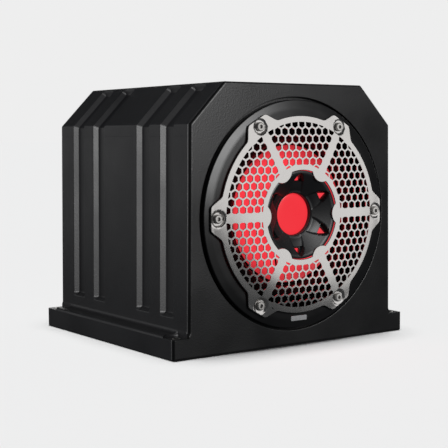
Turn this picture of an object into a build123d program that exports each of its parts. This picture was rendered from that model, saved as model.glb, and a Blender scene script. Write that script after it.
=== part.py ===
"""Powered car subwoofer: a moulded enclosure with a 10 inch driver, a lit grille and a built-in amplifier.

Millimetres. X is the width, seen from the front, Y runs from the front to the back and Z is up.
The origin is under the middle of the enclosure, on the surface that it stands on.
A depth is always counted from the front face towards the back.
"""

import math
import os

from build123d import *

os.makedirs("parts", exist_ok=True)

# ---------------------------------------------------------------- driving dimensions
HEIGHT = 310.0
DEPTH = 305.0
FRONT_Y = -DEPTH / 2
HALF_WIDTH_LOW = 152.6  # at the top of the flange
HALF_WIDTH_HIGH = 150.1  # where the top chamfer starts
CHAMFER_X = 47.4
CHAMFER_Z = 48.1
FLANGE_HALF_WIDTH = 173.7
FLANGE_HEIGHT = 26.3
WALL = 9.0
EDGE_ROUND = 4.0

LIP_DEPTH = 4.3  # the part of the baffle that shows at the edge
JOINT_GAP = 1.0  # taken up by the baffle gasket
PLUG_DEPTH = 16.3  # back of the baffle
REAR_WALL_DEPTH = 282.0
REAR_RECESS_DEPTH = 291.0

CHANNEL_WIDTH = 28.6
CHANNEL_FLOOR = 19.4
CHANNEL_DEPTH = 6.0
CHANNEL_Y = (-104.5, -52.4, 52.4, 104.5)
CHANNEL_BOTTOM = 41.5

MOUNT_X = 163.0
MOUNT_Y = 141.5
MOUNT_HOLE_R = 3.5
SLEEVE_R = 5.0
SEAT_R = 16.0
SEAT_Z = 23.3

DRIVER_Z = 156.0
RING_R = 135.0
RING_INNER_R = 112.5
RECESS_R = 138.0
RECESS_DEPTH = 6.0
BAFFLE_HOLE_R = 125.0
DRIVER_SCREW_R = 129.5
GRILLE_SCREW_R = 119.0

PLATE_FRONT = -12.3  # grille sheet, ahead of the front face
PLATE_BACK = -10.8
PLATE_R = 116.0
TAB_R = 128.0
TAB_HALF_WIDTH = 13.5
TAB_FLARE = 30.0
SPOKE_WIDTH = 10.2
MESH_R = 109.0
HEX_PITCH = 10.25
HEX_ACROSS = 7.8
HUB_HOLE_R = 52.6
HUB_NECK_R = 45.8
HUB_BUMP_R = 15.1
HUB_BAND_R = 59.0
SEAT_FLOOR_BACK = -5.2

CONE_R = 86.0
COIL_FORMER_R = 32.0
SURROUND_R = 96.0

AMP_HALF_X = 125.0
AMP_LOW_Z = 40.0
AMP_HIGH_Z = 260.0
AMP_FACE = 296.0
AMP_THICK = 4.0
BOARD_DEPTH = 272.0
BOARD_THICK = 1.6
KNOB_X = (-70.0, -35.0, 0.0)
KNOB_Z = 122.0

CLEAR = 0.3


# ---------------------------------------------------------------- helpers
def upright(depth, z=0.0):
    """A plane parallel to the front face: local x is X, local y is Z, and its normal faces the front."""
    return Plane(origin=(0, FRONT_Y + depth, z), x_dir=(1, 0, 0), z_dir=(0, -1, 0))


def level(z):
    """A horizontal plane at height z."""
    return Plane.XY.offset(z)


SECTION = Plane(origin=(0, FRONT_Y, DRIVER_Z), x_dir=(1, 0, 0), z_dir=(0, 0, 1))
DRIVER_AXIS = Axis((0, FRONT_Y, DRIVER_Z), (0, 1, 0))


def turn(points, mode=Mode.ADD):
    """Turns an outline of (radius, depth) points about the driver's axis."""
    with BuildSketch(SECTION) as outline:
        Polygon(*points, align=None)
    revolve(outline.sketch, axis=DRIVER_AXIS, mode=mode)


def discs(plane, places, radius, thickness, mode=Mode.ADD):
    """Round bars of one size, from a plane towards the side that its normal doesn't face."""
    with BuildSketch(plane) as outline:
        with places:
            Circle(radius)
    extrude(outline.sketch, amount=-thickness, mode=mode)


def blocks(plane, places, width, height, thickness, mode=Mode.ADD):
    """Square bars of one size, from a plane towards the side that its normal doesn't face."""
    with BuildSketch(plane) as outline:
        with places:
            Rectangle(width, height)
    extrude(outline.sketch, amount=-thickness, mode=mode)


def socket(plane, places, radius, depth):
    """Hexagon sockets sunk into screw heads."""
    with BuildSketch(plane) as outline:
        with places:
            RegularPolygon(radius, 6)
    extrude(outline.sketch, amount=-depth, mode=Mode.SUBTRACT)


def at_angles(radius, count, start=0.0):
    """Places spread evenly on a circle."""
    return PolarLocations(radius, count, start)


def save(builder, name):
    """Labels a finished piece and writes its STEP file."""
    builder.part.label = name
    export_step(builder.part, f"parts/{name}.step")


# ---------------------------------------------------------------- outlines
def side_x(z):
    """Half width of the drafted side at height z."""
    chamfer_start = HEIGHT - CHAMFER_Z
    share = (z - FLANGE_HEIGHT) / (chamfer_start - FLANGE_HEIGHT)
    return HALF_WIDTH_LOW + (HALF_WIDTH_HIGH - HALF_WIDTH_LOW) * share


ROOF_HALF = HALF_WIDTH_HIGH - CHAMFER_X
CHAMFER_LENGTH = math.hypot(CHAMFER_X, CHAMFER_Z)
CHAMFER_ALONG = (-CHAMFER_X / CHAMFER_LENGTH, CHAMFER_Z / CHAMFER_LENGTH)
CHAMFER_INWARD = (-CHAMFER_ALONG[1], CHAMFER_ALONG[0])


def outer_outline(plane):
    """Cross-section of the enclosure with its flange, its corners rounded."""
    half = [
        (FLANGE_HALF_WIDTH, 0),
        (FLANGE_HALF_WIDTH, FLANGE_HEIGHT),
        (HALF_WIDTH_LOW, FLANGE_HEIGHT),
        (HALF_WIDTH_HIGH, HEIGHT - CHAMFER_Z),
        (ROOF_HALF, HEIGHT),
    ]
    with BuildSketch(plane) as outline:
        Polygon(*half, *[(-x, z) for x, z in reversed(half)], align=None)
        fillet([v for v in outline.vertices() if v.Z > 1], EDGE_ROUND)
    return outline.sketch


def inner_outline(plane, inset, floor):
    """The same cross-section without the flange, drawn inset from the outside, from a floor height up."""
    chamfer_start = HEIGHT - CHAMFER_Z
    on_chamfer = (HALF_WIDTH_HIGH + CHAMFER_INWARD[0] * inset, chamfer_start + CHAMFER_INWARD[1] * inset)
    high_x = HALF_WIDTH_HIGH - inset
    run = (high_x - on_chamfer[0]) / CHAMFER_ALONG[0]
    high_z = on_chamfer[1] + run * CHAMFER_ALONG[1]
    top_z = HEIGHT - inset
    rise = (top_z - on_chamfer[1]) / CHAMFER_ALONG[1]
    top_x = on_chamfer[0] + rise * CHAMFER_ALONG[0]
    half = [(side_x(floor) - inset, floor), (high_x, high_z), (top_x, top_z)]
    with BuildSketch(plane) as outline:
        Polygon(*half, *[(-x, z) for x, z in reversed(half)], align=None)
    return outline.sketch


def channel_outline(plane, side, depth):
    """The stretch of wall that a side channel takes away, from above the flange to the roof's edge."""
    outside = 14.0
    inward = CHAMFER_INWARD
    along = CHAMFER_ALONG
    bottom = CHANNEL_BOTTOM + depth
    floor_bottom = (side_x(bottom) - depth, bottom)
    bend_z = HEIGHT - CHAMFER_Z + (inward[1] + along[1] * (1 + inward[0]) / -along[0]) * depth
    floor_bend = (side_x(bend_z) - depth, bend_z)
    end = (ROOF_HALF - along[0] * 1.0, HEIGHT - along[1] * 1.0)
    floor_top = (end[0] + (inward[0] - along[0]) * depth, end[1] + (inward[1] - along[1]) * depth)
    points = [
        floor_bottom,
        floor_bend,
        floor_top,
        (end[0] - (inward[0] - along[0]) * outside, end[1] - (inward[1] - along[1]) * outside),
        (HALF_WIDTH_HIGH + outside, HEIGHT),
        (HALF_WIDTH_LOW + outside, CHANNEL_BOTTOM - outside),
    ]
    with BuildSketch(plane) as outline:
        Polygon(*[(side * x, z) for x, z in points], align=None)
    return outline.sketch


def cut_channel(y, side):
    """Takes one channel with sloping walls out of the enclosure's side and top chamfer."""
    middle = Plane.XZ.offset(-y)
    slope = (CHANNEL_WIDTH - CHANNEL_FLOOR) / 2
    floor = channel_outline(middle, side, CHANNEL_DEPTH)
    extrude(floor, amount=CHANNEL_FLOOR / 2, both=True, mode=Mode.SUBTRACT)
    for direction in (-1, 1):
        inner = Plane.XZ.offset(-y + direction * CHANNEL_FLOOR / 2)
        outer = Plane.XZ.offset(-y + direction * (CHANNEL_FLOOR / 2 + slope))
        sections = [channel_outline(inner, side, CHANNEL_DEPTH), channel_outline(outer, side, 0.0)]
        loft(sections, ruled=True, mode=Mode.SUBTRACT)


def mount_places():
    """The four mounting holes of the flange."""
    return GridLocations(2 * MOUNT_X, 2 * MOUNT_Y, 2, 2)


def cut_mount_seats(mouth_depth, length):
    """Sinks the flange's four screw seats, outside the walls only, between two depths."""
    with BuildSketch(level(SEAT_Z)) as seats:
        with mount_places():
            Circle(SEAT_R)
        with Locations((0, FRONT_Y + mouth_depth + length / 2)):
            Rectangle(4 * FLANGE_HALF_WIDTH, length, mode=Mode.INTERSECT)
        Rectangle(2 * HALF_WIDTH_LOW, 2 * DEPTH, mode=Mode.SUBTRACT)
    extrude(seats.sketch, amount=FLANGE_HEIGHT, mode=Mode.SUBTRACT)
    with BuildSketch(level(-1)) as holes:
        with mount_places():
            Circle(SLEEVE_R + 0.1)
    extrude(holes.sketch, amount=FLANGE_HEIGHT, mode=Mode.SUBTRACT)


# ---------------------------------------------------------------- enclosure
SHELL_FRONT = LIP_DEPTH + JOINT_GAP
BASE_LEDGE_Z = 8.0
BASE_INNER_HALF = 128.0
BASE_POCKET_HALF = 143.0
BASE_POCKET_FRONT = 20.0
BASE_POCKET_BACK = 284.0
BASE_RIM = 15.0
CAVITY_FLOOR = 14.0
FRAME_FRONT = PLUG_DEPTH + 0.5
FRAME_BACK = FRAME_FRONT + 5.0
FRAME_INSET = WALL + 13.0
BAFFLE_SCREWS = [
    (x, z) for x in (-134.0, 134.0) for z in (24.0, 240.0)
] + [(-70.0, 294.0), (70.0, 294.0), (-60.0, 20.5), (60.0, 20.5)]
AMP_SCREWS = [(x, z) for x in (-118.0, 118.0) for z in (47.0, 98.5, 150.0, 201.5, 253.0)] + [
    (x, z) for x in (-39.0, 39.0) for z in (47.0, 253.0)
]
BASE_SCREWS = [(x, y) for x in (-135.5, 135.5) for y in (-105.0, -35.0, 35.0, 105.0)] + [
    (0.0, FRONT_Y + BASE_POCKET_FRONT + 7.5),
    (0.0, FRONT_Y + BASE_POCKET_BACK - 7.5),
]

with BuildPart() as enclosure_shell:
    # roof, sides, chamfers and flange
    extrude(outer_outline(upright(SHELL_FRONT)), amount=-(DEPTH - SHELL_FRONT))
    front_and_back = enclosure_shell.faces().filter_by(Axis.Y)
    fillet(front_and_back.sort_by(Axis.Y)[-1].edges(), 2.5)
    fillet(enclosure_shell.faces().filter_by(Axis.Y).sort_by(Axis.Y)[0].edges(), 1.2)
    # room for the baffle's plug, an inner frame that it is screwed to, and the cavity
    extrude(
        inner_outline(upright(SHELL_FRONT - 1), WALL, CAVITY_FLOOR),
        amount=-(FRAME_FRONT - SHELL_FRONT + 1),
        mode=Mode.SUBTRACT,
    )
    extrude(
        inner_outline(upright(FRAME_FRONT - 1), FRAME_INSET, CAVITY_FLOOR + 13.0),
        amount=-(FRAME_BACK - FRAME_FRONT + 2),
        mode=Mode.SUBTRACT,
    )
    extrude(
        inner_outline(upright(FRAME_BACK), WALL, CAVITY_FLOOR),
        amount=-(REAR_WALL_DEPTH - FRAME_BACK),
        mode=Mode.SUBTRACT,
    )
    # recess around the amplifier, and its opening through the rear wall
    extrude(
        inner_outline(upright(REAR_RECESS_DEPTH), WALL, 20.0),
        amount=-(DEPTH - REAR_RECESS_DEPTH + 1),
        mode=Mode.SUBTRACT,
    )
    blocks(
        upright(REAR_WALL_DEPTH - 1, 150.0), Locations((0, 0)), 220, 190, WALL + 2, mode=Mode.SUBTRACT
    )
    # underside: an opening with a ledge that the base plate is screwed to
    base_middle = FRONT_Y + (BASE_POCKET_FRONT + BASE_POCKET_BACK) / 2
    base_length = BASE_POCKET_BACK - BASE_POCKET_FRONT
    with Locations((0, base_middle, 0)):
        Box(
            2 * BASE_POCKET_HALF,
            base_length,
            2 * BASE_LEDGE_Z,
            mode=Mode.SUBTRACT,
        )
        Box(
            2 * BASE_INNER_HALF,
            base_length - 2 * BASE_RIM,
            2 * CAVITY_FLOOR + 2,
            mode=Mode.SUBTRACT,
        )
    # ribs under the flange
    blocks(level(0), GridLocations(2 * 160.5, 42.0, 2, 6), 15.0, 37.0, -20.0, mode=Mode.SUBTRACT)
    for channel_y in CHANNEL_Y:
        for channel_side in (-1, 1):
            cut_channel(channel_y, channel_side)
    cut_mount_seats(SHELL_FRONT - 1, DEPTH)
    frame_thick = FRAME_BACK - FRAME_FRONT
    discs(upright(FRAME_FRONT - 1), Locations(*BAFFLE_SCREWS), 2.6, frame_thick + 2, mode=Mode.SUBTRACT)
    discs(level(CAVITY_FLOOR - 1.0), Locations(*BASE_SCREWS), 2.1, CAVITY_FLOOR, mode=Mode.SUBTRACT)
    discs(upright(REAR_WALL_DEPTH + 1.0), Locations(*AMP_SCREWS), 2.0, WALL + 1.0, mode=Mode.SUBTRACT)
save(enclosure_shell, "enclosure_shell")

with BuildPart() as front_baffle:
    # lip that shows at the front, with the flange's outline
    extrude(outer_outline(upright(0)), amount=-LIP_DEPTH)
    fillet(front_baffle.faces().filter_by(Axis.Y).sort_by(Axis.Y)[0].edges(), 3.0)
    fillet(front_baffle.faces().filter_by(Axis.Y).sort_by(Axis.Y)[-1].edges(), 0.6)
    # plug that fits inside the shell
    plug = inner_outline(upright(LIP_DEPTH), WALL + CLEAR, CAVITY_FLOOR + CLEAR)
    extrude(plug, amount=-(PLUG_DEPTH - LIP_DEPTH))
    turn([(0, -1), (RECESS_R, -1), (RECESS_R, RECESS_DEPTH), (0, RECESS_DEPTH)], mode=Mode.SUBTRACT)
    discs(upright(0, DRIVER_Z), Locations((0, 0)), BAFFLE_HOLE_R, PLUG_DEPTH + 1, mode=Mode.SUBTRACT)
    driver_holes = upright(RECESS_DEPTH - 1, DRIVER_Z)
    discs(driver_holes, at_angles(DRIVER_SCREW_R, 8, 22.5), 2.5, 9.0, mode=Mode.SUBTRACT)
    discs(upright(PLUG_DEPTH - 8.5), Locations(*BAFFLE_SCREWS), 2.1, 10.0, mode=Mode.SUBTRACT)
    cut_mount_seats(-1.0, LIP_DEPTH + 2.0)
save(front_baffle, "front_baffle")

with BuildPart() as baffle_gasket:
    with BuildSketch(upright(LIP_DEPTH)) as strip:
        add(inner_outline(upright(LIP_DEPTH), 2.5, CAVITY_FLOOR + CLEAR - 6.0))
        add(inner_outline(upright(LIP_DEPTH), WALL + 0.1, CAVITY_FLOOR), mode=Mode.SUBTRACT)
    extrude(strip.sketch, amount=-JOINT_GAP)
save(baffle_gasket, "baffle_gasket")

with BuildPart() as baffle_screws:
    discs(upright(FRAME_BACK), Locations(*BAFFLE_SCREWS), 4.2, 2.6)
    discs(upright(PLUG_DEPTH - 8.0), Locations(*BAFFLE_SCREWS), 2.0, FRAME_BACK - PLUG_DEPTH + 8.0)
    discs(upright(FRAME_BACK + 1.2), Locations(*BAFFLE_SCREWS), 1.6, 2.0, mode=Mode.SUBTRACT)
save(baffle_screws, "baffle_screws")

BASE_BOTTOM = 1.0
with BuildPart() as base_plate:
    with BuildSketch(level(BASE_BOTTOM)) as base_outline:
        with Locations((0, base_middle)):
            RectangleRounded(2 * (BASE_POCKET_HALF - CLEAR), base_length - 2 * CLEAR, 0.5)
    extrude(base_outline.sketch, amount=BASE_LEDGE_Z - BASE_BOTTOM)
    with Locations(Plane(origin=(0, 0, BASE_BOTTOM), x_dir=(1, 0, 0), z_dir=(0, 0, -1))):
        with Locations(*[(x, -y) for x, y in BASE_SCREWS]):
            CounterSinkHole(2.2, 4.2, depth=12)
    # stiffening ribs on the inside
    blocks(level(BASE_LEDGE_Z), Locations((0, -60), (0, 0), (0, 60)), 230.0, 3.0, -6.0)
save(base_plate, "base_plate")

with BuildPart() as base_screws:
    with Locations(*[(x, y, BASE_BOTTOM) for x, y in BASE_SCREWS]):
        Cone(4.1, 2.0, 2.1, align=(Align.CENTER, Align.CENTER, Align.MIN))
        Cylinder(2.0, 11.5, align=(Align.CENTER, Align.CENTER, Align.MIN))
    with BuildSketch(level(BASE_BOTTOM)) as drives:
        with Locations(*BASE_SCREWS):
            Rectangle(4.4, 1.0)
            Rectangle(1.0, 4.4)
    extrude(drives.sketch, amount=1.4, mode=Mode.SUBTRACT)
save(base_screws, "base_screws")

with BuildPart() as mounting_sleeves:
    discs(level(0), mount_places(), SLEEVE_R, -(SEAT_Z + 0.4))
    discs(level(-1), mount_places(), MOUNT_HOLE_R, -(SEAT_Z + 4), mode=Mode.SUBTRACT)
save(mounting_sleeves, "mounting_sleeves")

# ---------------------------------------------------------------- driver, fixed parts
with BuildPart() as driver_gasket:
    turn([(BAFFLE_HOLE_R + 0.5, 4.0), (133.5, 4.0), (133.5, 6.0), (BAFFLE_HOLE_R + 0.5, 6.0)])
    discs(upright(3, DRIVER_Z), at_angles(DRIVER_SCREW_R, 8, 22.5), 2.6, 4.0, mode=Mode.SUBTRACT)
save(driver_gasket, "driver_gasket")

FLANGE_THICK = 4.0
LANDING_DEPTH = 16.5
SPIDER_DEPTH = 60.0
TOP_PLATE_DEPTH = 88.0
BOARD_MIDDLE = (101.75, 42.5)  # radius and depth on the basket arm that carries the terminals
ARM_SLOPE = (0.8425, 0.5388)  # outward direction there, in radius and depth
LEAD_DEPTH = 52.0
LEAD_X = 7.0
LED_HOLE_ANGLE = 250.0
LED_HOLE_R = 117.5

with BuildPart() as driver_basket:
    turn(
        [
            (134, 0),
            (134, FLANGE_THICK),
            (115.5, FLANGE_THICK),
            (115.5, 21),
            (88, 64),
            (80, 80),
            (80, TOP_PLATE_DEPTH),
            (37, TOP_PLATE_DEPTH),
            (37, TOP_PLATE_DEPTH - 4),
            (76, TOP_PLATE_DEPTH - 4),
            (76, SPIDER_DEPTH + 4),
            (72, SPIDER_DEPTH + 4),
            (72, SPIDER_DEPTH),
            (84, SPIDER_DEPTH),
            (109.5, LANDING_DEPTH + 3),
            (100, LANDING_DEPTH + 3),
            (100, LANDING_DEPTH),
            (RING_INNER_R, LANDING_DEPTH),
            (RING_INNER_R, 0),
        ]
    )
    # bosses for the grille screws
    discs(upright(FLANGE_THICK, DRIVER_Z), at_angles(GRILLE_SCREW_R, 6), 4.6, 10.0)
    # six arms are left between these windows, above and below the spider's ledge
    for window_start, window_depth in ((24.0, 33.0), (67.0, 11.0)):
        with BuildSketch(upright(window_start, DRIVER_Z)) as windows:
            with PolarLocations(0, 6):
                Polygon((50, -14), (140, -46), (140, 46), (50, 14), align=None)
        extrude(windows.sketch, amount=-window_depth, mode=Mode.SUBTRACT)
    face = upright(-1, DRIVER_Z)
    discs(face, at_angles(GRILLE_SCREW_R, 6), 2.5, 16.0, mode=Mode.SUBTRACT)
    with Locations(upright(0, DRIVER_Z)):
        with PolarLocations(DRIVER_SCREW_R, 8, 22.5):
            CounterSinkHole(2.6, 4.7, depth=8)
    discs(face, at_angles(LED_HOLE_R, 1, LED_HOLE_ANGLE), 2.0, 7.0, mode=Mode.SUBTRACT)
    # holes that the tinsel leads pass through, in the lower arm
    for lead_side in (-1, 1):
        with Locations((lead_side * LEAD_X, FRONT_Y + LEAD_DEPTH, DRIVER_Z - 92)):
            Cylinder(1.6, 24.0, mode=Mode.SUBTRACT)
save(driver_basket, "driver_basket")

with BuildPart() as driver_screws:
    with Locations(upright(0.15, DRIVER_Z)):
        with PolarLocations(DRIVER_SCREW_R, 8, 22.5):
            Cone(2.4, 4.4, 2.0, align=(Align.CENTER, Align.CENTER, Align.MAX))
            Cylinder(2.4, 13.5, align=(Align.CENTER, Align.CENTER, Align.MAX))
    cross_face = upright(0.15, DRIVER_Z)
    blocks(cross_face, at_angles(DRIVER_SCREW_R, 8, 22.5), 4.4, 1.0, 1.4, mode=Mode.SUBTRACT)
    blocks(cross_face, at_angles(DRIVER_SCREW_R, 8, 22.5), 1.0, 4.4, 1.4, mode=Mode.SUBTRACT)
save(driver_screws, "driver_screws")

with BuildPart() as trim_ring:
    turn(
        [
            (RING_INNER_R, 0),
            (RING_INNER_R, -4.4),
            (RING_INNER_R + 1.0, -5.2),
            (129.0, -5.2),
            (RING_R - 0.8, -3.6),
            (RING_R, -2.8),
            (RING_R, 4.6),
            (134.3, 4.6),
            (134.3, 0),
        ]
    )
    discs(face.offset(10), at_angles(GRILLE_SCREW_R, 6), 2.8, 16.0, mode=Mode.SUBTRACT)
    discs(face.offset(10), at_angles(LED_HOLE_R, 1, LED_HOLE_ANGLE), 2.0, 16.0, mode=Mode.SUBTRACT)
    # seat of the badge
    blocks(upright(-4.9, DRIVER_Z), Locations((0, -123.0)), 24.4, 6.4, -2.0, mode=Mode.SUBTRACT)
save(trim_ring, "trim_ring")

with BuildPart() as ring_badge:
    blocks(upright(-5.6, DRIVER_Z), Locations((0, -123.0)), 24.0, 6.0, 0.7)
    fillet(ring_badge.edges().filter_by(Axis.Y), 1.0)
save(ring_badge, "ring_badge")

with BuildPart() as top_plate:
    turn([(34.9, 88), (70.5, 88), (72, 89.5), (72, 98), (34.9, 98)])
save(top_plate, "top_plate")

with BuildPart() as magnet:
    turn([(46, 98), (76.5, 98), (78, 99.5), (78, 120.5), (76.5, 122), (46, 122)])
save(magnet, "magnet")

with BuildPart() as pole_piece:
    turn([(10, 86), (31.6, 86), (31.6, 122), (74, 122), (72, 130), (13, 130), (10, 126)])
save(pole_piece, "pole_piece")

with BuildPart() as magnet_boot:
    outside = [(81.5, 98.5), (81.5, 128), (77, 133), (30, 133)]
    turn([*outside, (30, 130.3), (76, 130.3), (78.3, 127), (78.3, 98.5)])
save(magnet_boot, "magnet_boot")

# ---------------------------------------------------------------- driver, moving parts
with BuildPart() as cone:
    with BuildSketch(SECTION) as dish:
        with BuildLine():
            front = ThreePointArc((81.5, 16.5), (58.6, 32.6), (32.5, 46.0))
            Polyline((81.5, 16.5), (CONE_R, 16.5), (CONE_R, 18.1), (82.3, 18.1))
            back = ThreePointArc((82.3, 18.1), (59.2, 34.2), (32.5, 47.9))
            Line(front @ 1, back @ 1)
        make_face()
    revolve(dish.sketch, axis=DRIVER_AXIS)
save(cone, "cone")

with BuildPart() as dust_cap:
    with BuildSketch(SECTION) as dome:
        with BuildLine():
            outside = ThreePointArc((0, 30.0), (22.0, 33.2), (41.0, 41.2))
            inside = ThreePointArc((0, 31.2), (21.6, 34.3), (38.5, 42.4))
            Line(outside @ 0, inside @ 0)
            Line(outside @ 1, inside @ 1)
        make_face()
    revolve(dome.sketch, axis=DRIVER_AXIS)
save(dust_cap, "dust_cap")

with BuildPart() as surround:
    with BuildSketch(SECTION) as roll:
        with BuildLine():
            crown = ThreePointArc((CONE_R, 15.2), (SURROUND_R, 5.2), (106.0, 15.2))
            Polyline((106.0, 15.2), (112.0, 15.2), (112.0, 16.4), (104.8, 16.4))
            hollow = ThreePointArc((104.8, 16.4), (SURROUND_R, 6.4), (87.2, 16.4))
            Polyline((87.2, 16.4), (82.0, 16.4), (82.0, 15.2), (CONE_R, 15.2))
        make_face()
    revolve(roll.sketch, axis=DRIVER_AXIS)
save(surround, "surround")

SPIDER_WAVES = 4
with BuildPart() as spider:
    wave_step = (72.0 - 38.0) / (2 * SPIDER_WAVES)
    crests = []
    for i in range(2 * SPIDER_WAVES + 1):
        crests.append((38.0 + wave_step * i, SPIDER_DEPTH - 2.4 + (1.6 if i % 2 else 0.0)))
    top = [(32.5, crests[0][1]), *crests, (73.0, SPIDER_DEPTH - 0.9), (82.0, SPIDER_DEPTH - 0.9)]
    turn([*top, *[(r, d + 0.8) for r, d in reversed(top)]])
save(spider, "spider")

with BuildPart() as voice_coil_former:
    turn([(COIL_FORMER_R, 44.0), (32.4, 44.0), (32.4, 104.0), (COIL_FORMER_R, 104.0)])
save(voice_coil_former, "voice_coil_former")

with BuildPart() as voice_coil:
    turn([(32.45, 80.0), (34.2, 80.0), (34.2, 106.0), (32.45, 106.0)])
save(voice_coil, "voice_coil")

# ---------------------------------------------------------------- driver terminals and leads
ARM_PLANE = Plane(
    origin=(0, FRONT_Y + BOARD_MIDDLE[1], DRIVER_Z - BOARD_MIDDLE[0] - 0.1),
    x_dir=(1, 0, 0),
    z_dir=(0, ARM_SLOPE[1], -ARM_SLOPE[0]),
)
TERMINAL_X = 11.0
with BuildPart() as terminal_board:
    blocks(ARM_PLANE, Locations((0, 0)), 34.0, 22.0, -2.5)
    fillet(terminal_board.edges().filter_by(Axis(ARM_PLANE.origin, ARM_PLANE.z_dir)), 2.0)
save(terminal_board, "terminal_board")

with BuildPart() as terminal_tabs:
    blocks(ARM_PLANE.offset(2.5), Locations((-TERMINAL_X, 0), (TERMINAL_X, 0)), 6.3, 12.0, -0.8)
    blocks(ARM_PLANE.offset(3.3), Locations((-TERMINAL_X, 3), (TERMINAL_X, 3)), 6.3, 0.8, -9.0)
save(terminal_tabs, "terminal_tabs")

with BuildPart() as tinsel_leads:
    for lead_side in (-1, 1):
        with Locations((lead_side * LEAD_X, FRONT_Y + LEAD_DEPTH, DRIVER_Z - 64.5)):
            Cylinder(0.7, 62.4)
save(tinsel_leads, "tinsel_leads")

# ---------------------------------------------------------------- grille
def hex_places():
    """Centres of the mesh's hexagons, in rows, as far out as the mesh goes."""
    row_height = HEX_PITCH * math.sqrt(3) / 2
    rows = int(MESH_R / row_height) + 1
    columns = int(MESH_R / HEX_PITCH) + 1
    for row in range(-rows, rows + 1):
        shift = 0.5 if row % 2 else 0.0
        for column in range(-columns, columns + 1):
            place = ((column + shift) * HEX_PITCH, row * row_height)
            if math.hypot(*place) < MESH_R + HEX_ACROSS / 2:
                yield place


GRILLE_PLANE = upright(PLATE_FRONT, DRIVER_Z)
SHEET = PLATE_BACK - PLATE_FRONT

with BuildSketch(GRILLE_PLANE) as mesh_holes:
    with Locations(*hex_places()):
        RegularPolygon(HEX_ACROSS / 2, 6, major_radius=False, rotation=30)
    # the rim, the hub and the six spokes are left whole
    Circle(MESH_R, mode=Mode.INTERSECT)
    Circle(HUB_BAND_R, mode=Mode.SUBTRACT)
    with PolarLocations(0, 3, 0, 180):
        Rectangle(2 * MESH_R, SPOKE_WIDTH, mode=Mode.SUBTRACT)

with BuildSketch(GRILLE_PLANE) as sheet:
    Circle(PLATE_R)
    with PolarLocations(0, 6):
        Polygon(
            (PLATE_R - 8, -TAB_FLARE),
            (TAB_R - 1.5, -TAB_HALF_WIDTH - 1.5),
            (TAB_R, -TAB_HALF_WIDTH),
            (TAB_R, TAB_HALF_WIDTH),
            (TAB_R - 1.5, TAB_HALF_WIDTH + 1.5),
            (PLATE_R - 8, TAB_FLARE),
            align=None,
        )
    # the hub's opening is round, and a bump at each spoke's root reaches into it
    Circle(HUB_HOLE_R, mode=Mode.SUBTRACT)
    with PolarLocations(HUB_NECK_R + HUB_BUMP_R, 6):
        Circle(HUB_BUMP_R)

whole = sheet.sketch.face()
mesh_wires = [hole.outer_wire() for hole in mesh_holes.sketch.faces()]
perforated = Face(whole.outer_wire(), [*whole.inner_wires(), *mesh_wires])

with BuildPart() as grille:
    extrude(perforated, amount=-SHEET)
    # pressed seats that stand the sheet off the trim ring and hold the screws
    seats_at = at_angles(GRILLE_SCREW_R, 6)
    discs(GRILLE_PLANE, seats_at, 9.0, SEAT_FLOOR_BACK - PLATE_FRONT - 0.1)
    discs(GRILLE_PLANE, seats_at, 7.6, SEAT_FLOOR_BACK - PLATE_FRONT - 1.4, mode=Mode.SUBTRACT)
    discs(GRILLE_PLANE, seats_at, 2.8, 10.0, mode=Mode.SUBTRACT)
save(grille, "grille")

SCREW_SEAT = SEAT_FLOOR_BACK - 1.4
with BuildPart() as grille_screws:
    seats_at = at_angles(GRILLE_SCREW_R, 6)
    discs(upright(SCREW_SEAT - 3.3, DRIVER_Z), seats_at, 5.25, 3.3)
    discs(upright(SCREW_SEAT, DRIVER_Z), seats_at, 2.4, 19.0)
    fillet(grille_screws.faces().filter_by(Axis.Y).sort_by(Axis.Y)[0:6].edges(), 1.2)
    socket(upright(SCREW_SEAT - 3.3, DRIVER_Z), seats_at, 1.9, 2.0)
save(grille_screws, "grille_screws")

# ---------------------------------------------------------------- centre pod
POD_RIM_R = 51.0
POD_TUBE_R = 27.5
LENS_DEPTH = 7.4
LENS_R = 24.8
LED_BOARD_DEPTH = 13.0
POD_BACK = 18.0

with BuildPart() as centre_pod:
    turn(
        [
            (POD_RIM_R, -10.7),
            (POD_RIM_R, -8.6),
            (29.0, 5.4),
            (POD_TUBE_R, 7.0),
            (POD_TUBE_R, POD_BACK),
            (25.0, POD_BACK),
            (25.0, 11.6),
            (23.4, 11.6),
            (23.4, 10.0),
            (25.0, 10.0),
            (25.0, 4.2),
            (26.0, 3.3),
            (45.0, -8.6),
            (45.0, -10.7),
        ]
    )
    with BuildSketch(upright(-12.0, DRIVER_Z)) as pod_windows:
        with PolarLocations(43.0, 6, 30):
            RegularPolygon(5.5, 3)
    extrude(pod_windows.sketch, amount=-14.0, mode=Mode.SUBTRACT)
save(centre_pod, "centre_pod")

with BuildPart() as pod_lens:
    front_edge = [(0, LENS_DEPTH), (LENS_R - 1.2, LENS_DEPTH), (LENS_R, LENS_DEPTH + 1.2)]
    turn([*front_edge, (LENS_R, LENS_DEPTH + 2.6), (0, LENS_DEPTH + 2.6)])
save(pod_lens, "pod_lens")

with BuildPart() as led_board:
    turn([(0, LED_BOARD_DEPTH), (LENS_R, LED_BOARD_DEPTH), (LENS_R, 14.6), (0, 14.6)])
save(led_board, "led_board")

with BuildPart() as leds:
    for led_radius, led_count in ((17.0, 8), (7.5, 4)):
        blocks(upright(LED_BOARD_DEPTH - 1.2, DRIVER_Z), at_angles(led_radius, led_count), 3.5, 3.5, 1.2)
    blocks(upright(14.6, DRIVER_Z), at_angles(18.5, 8, 22.5), 3.5, 3.5, 1.2)
save(leds, "leds")

with BuildPart() as pod_back_lens:
    turn([(0, 16.4), (24.9, 16.4), (24.9, POD_BACK), (22.0, 19.4), (0, 19.4)])
save(pod_back_lens, "pod_back_lens")


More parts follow.
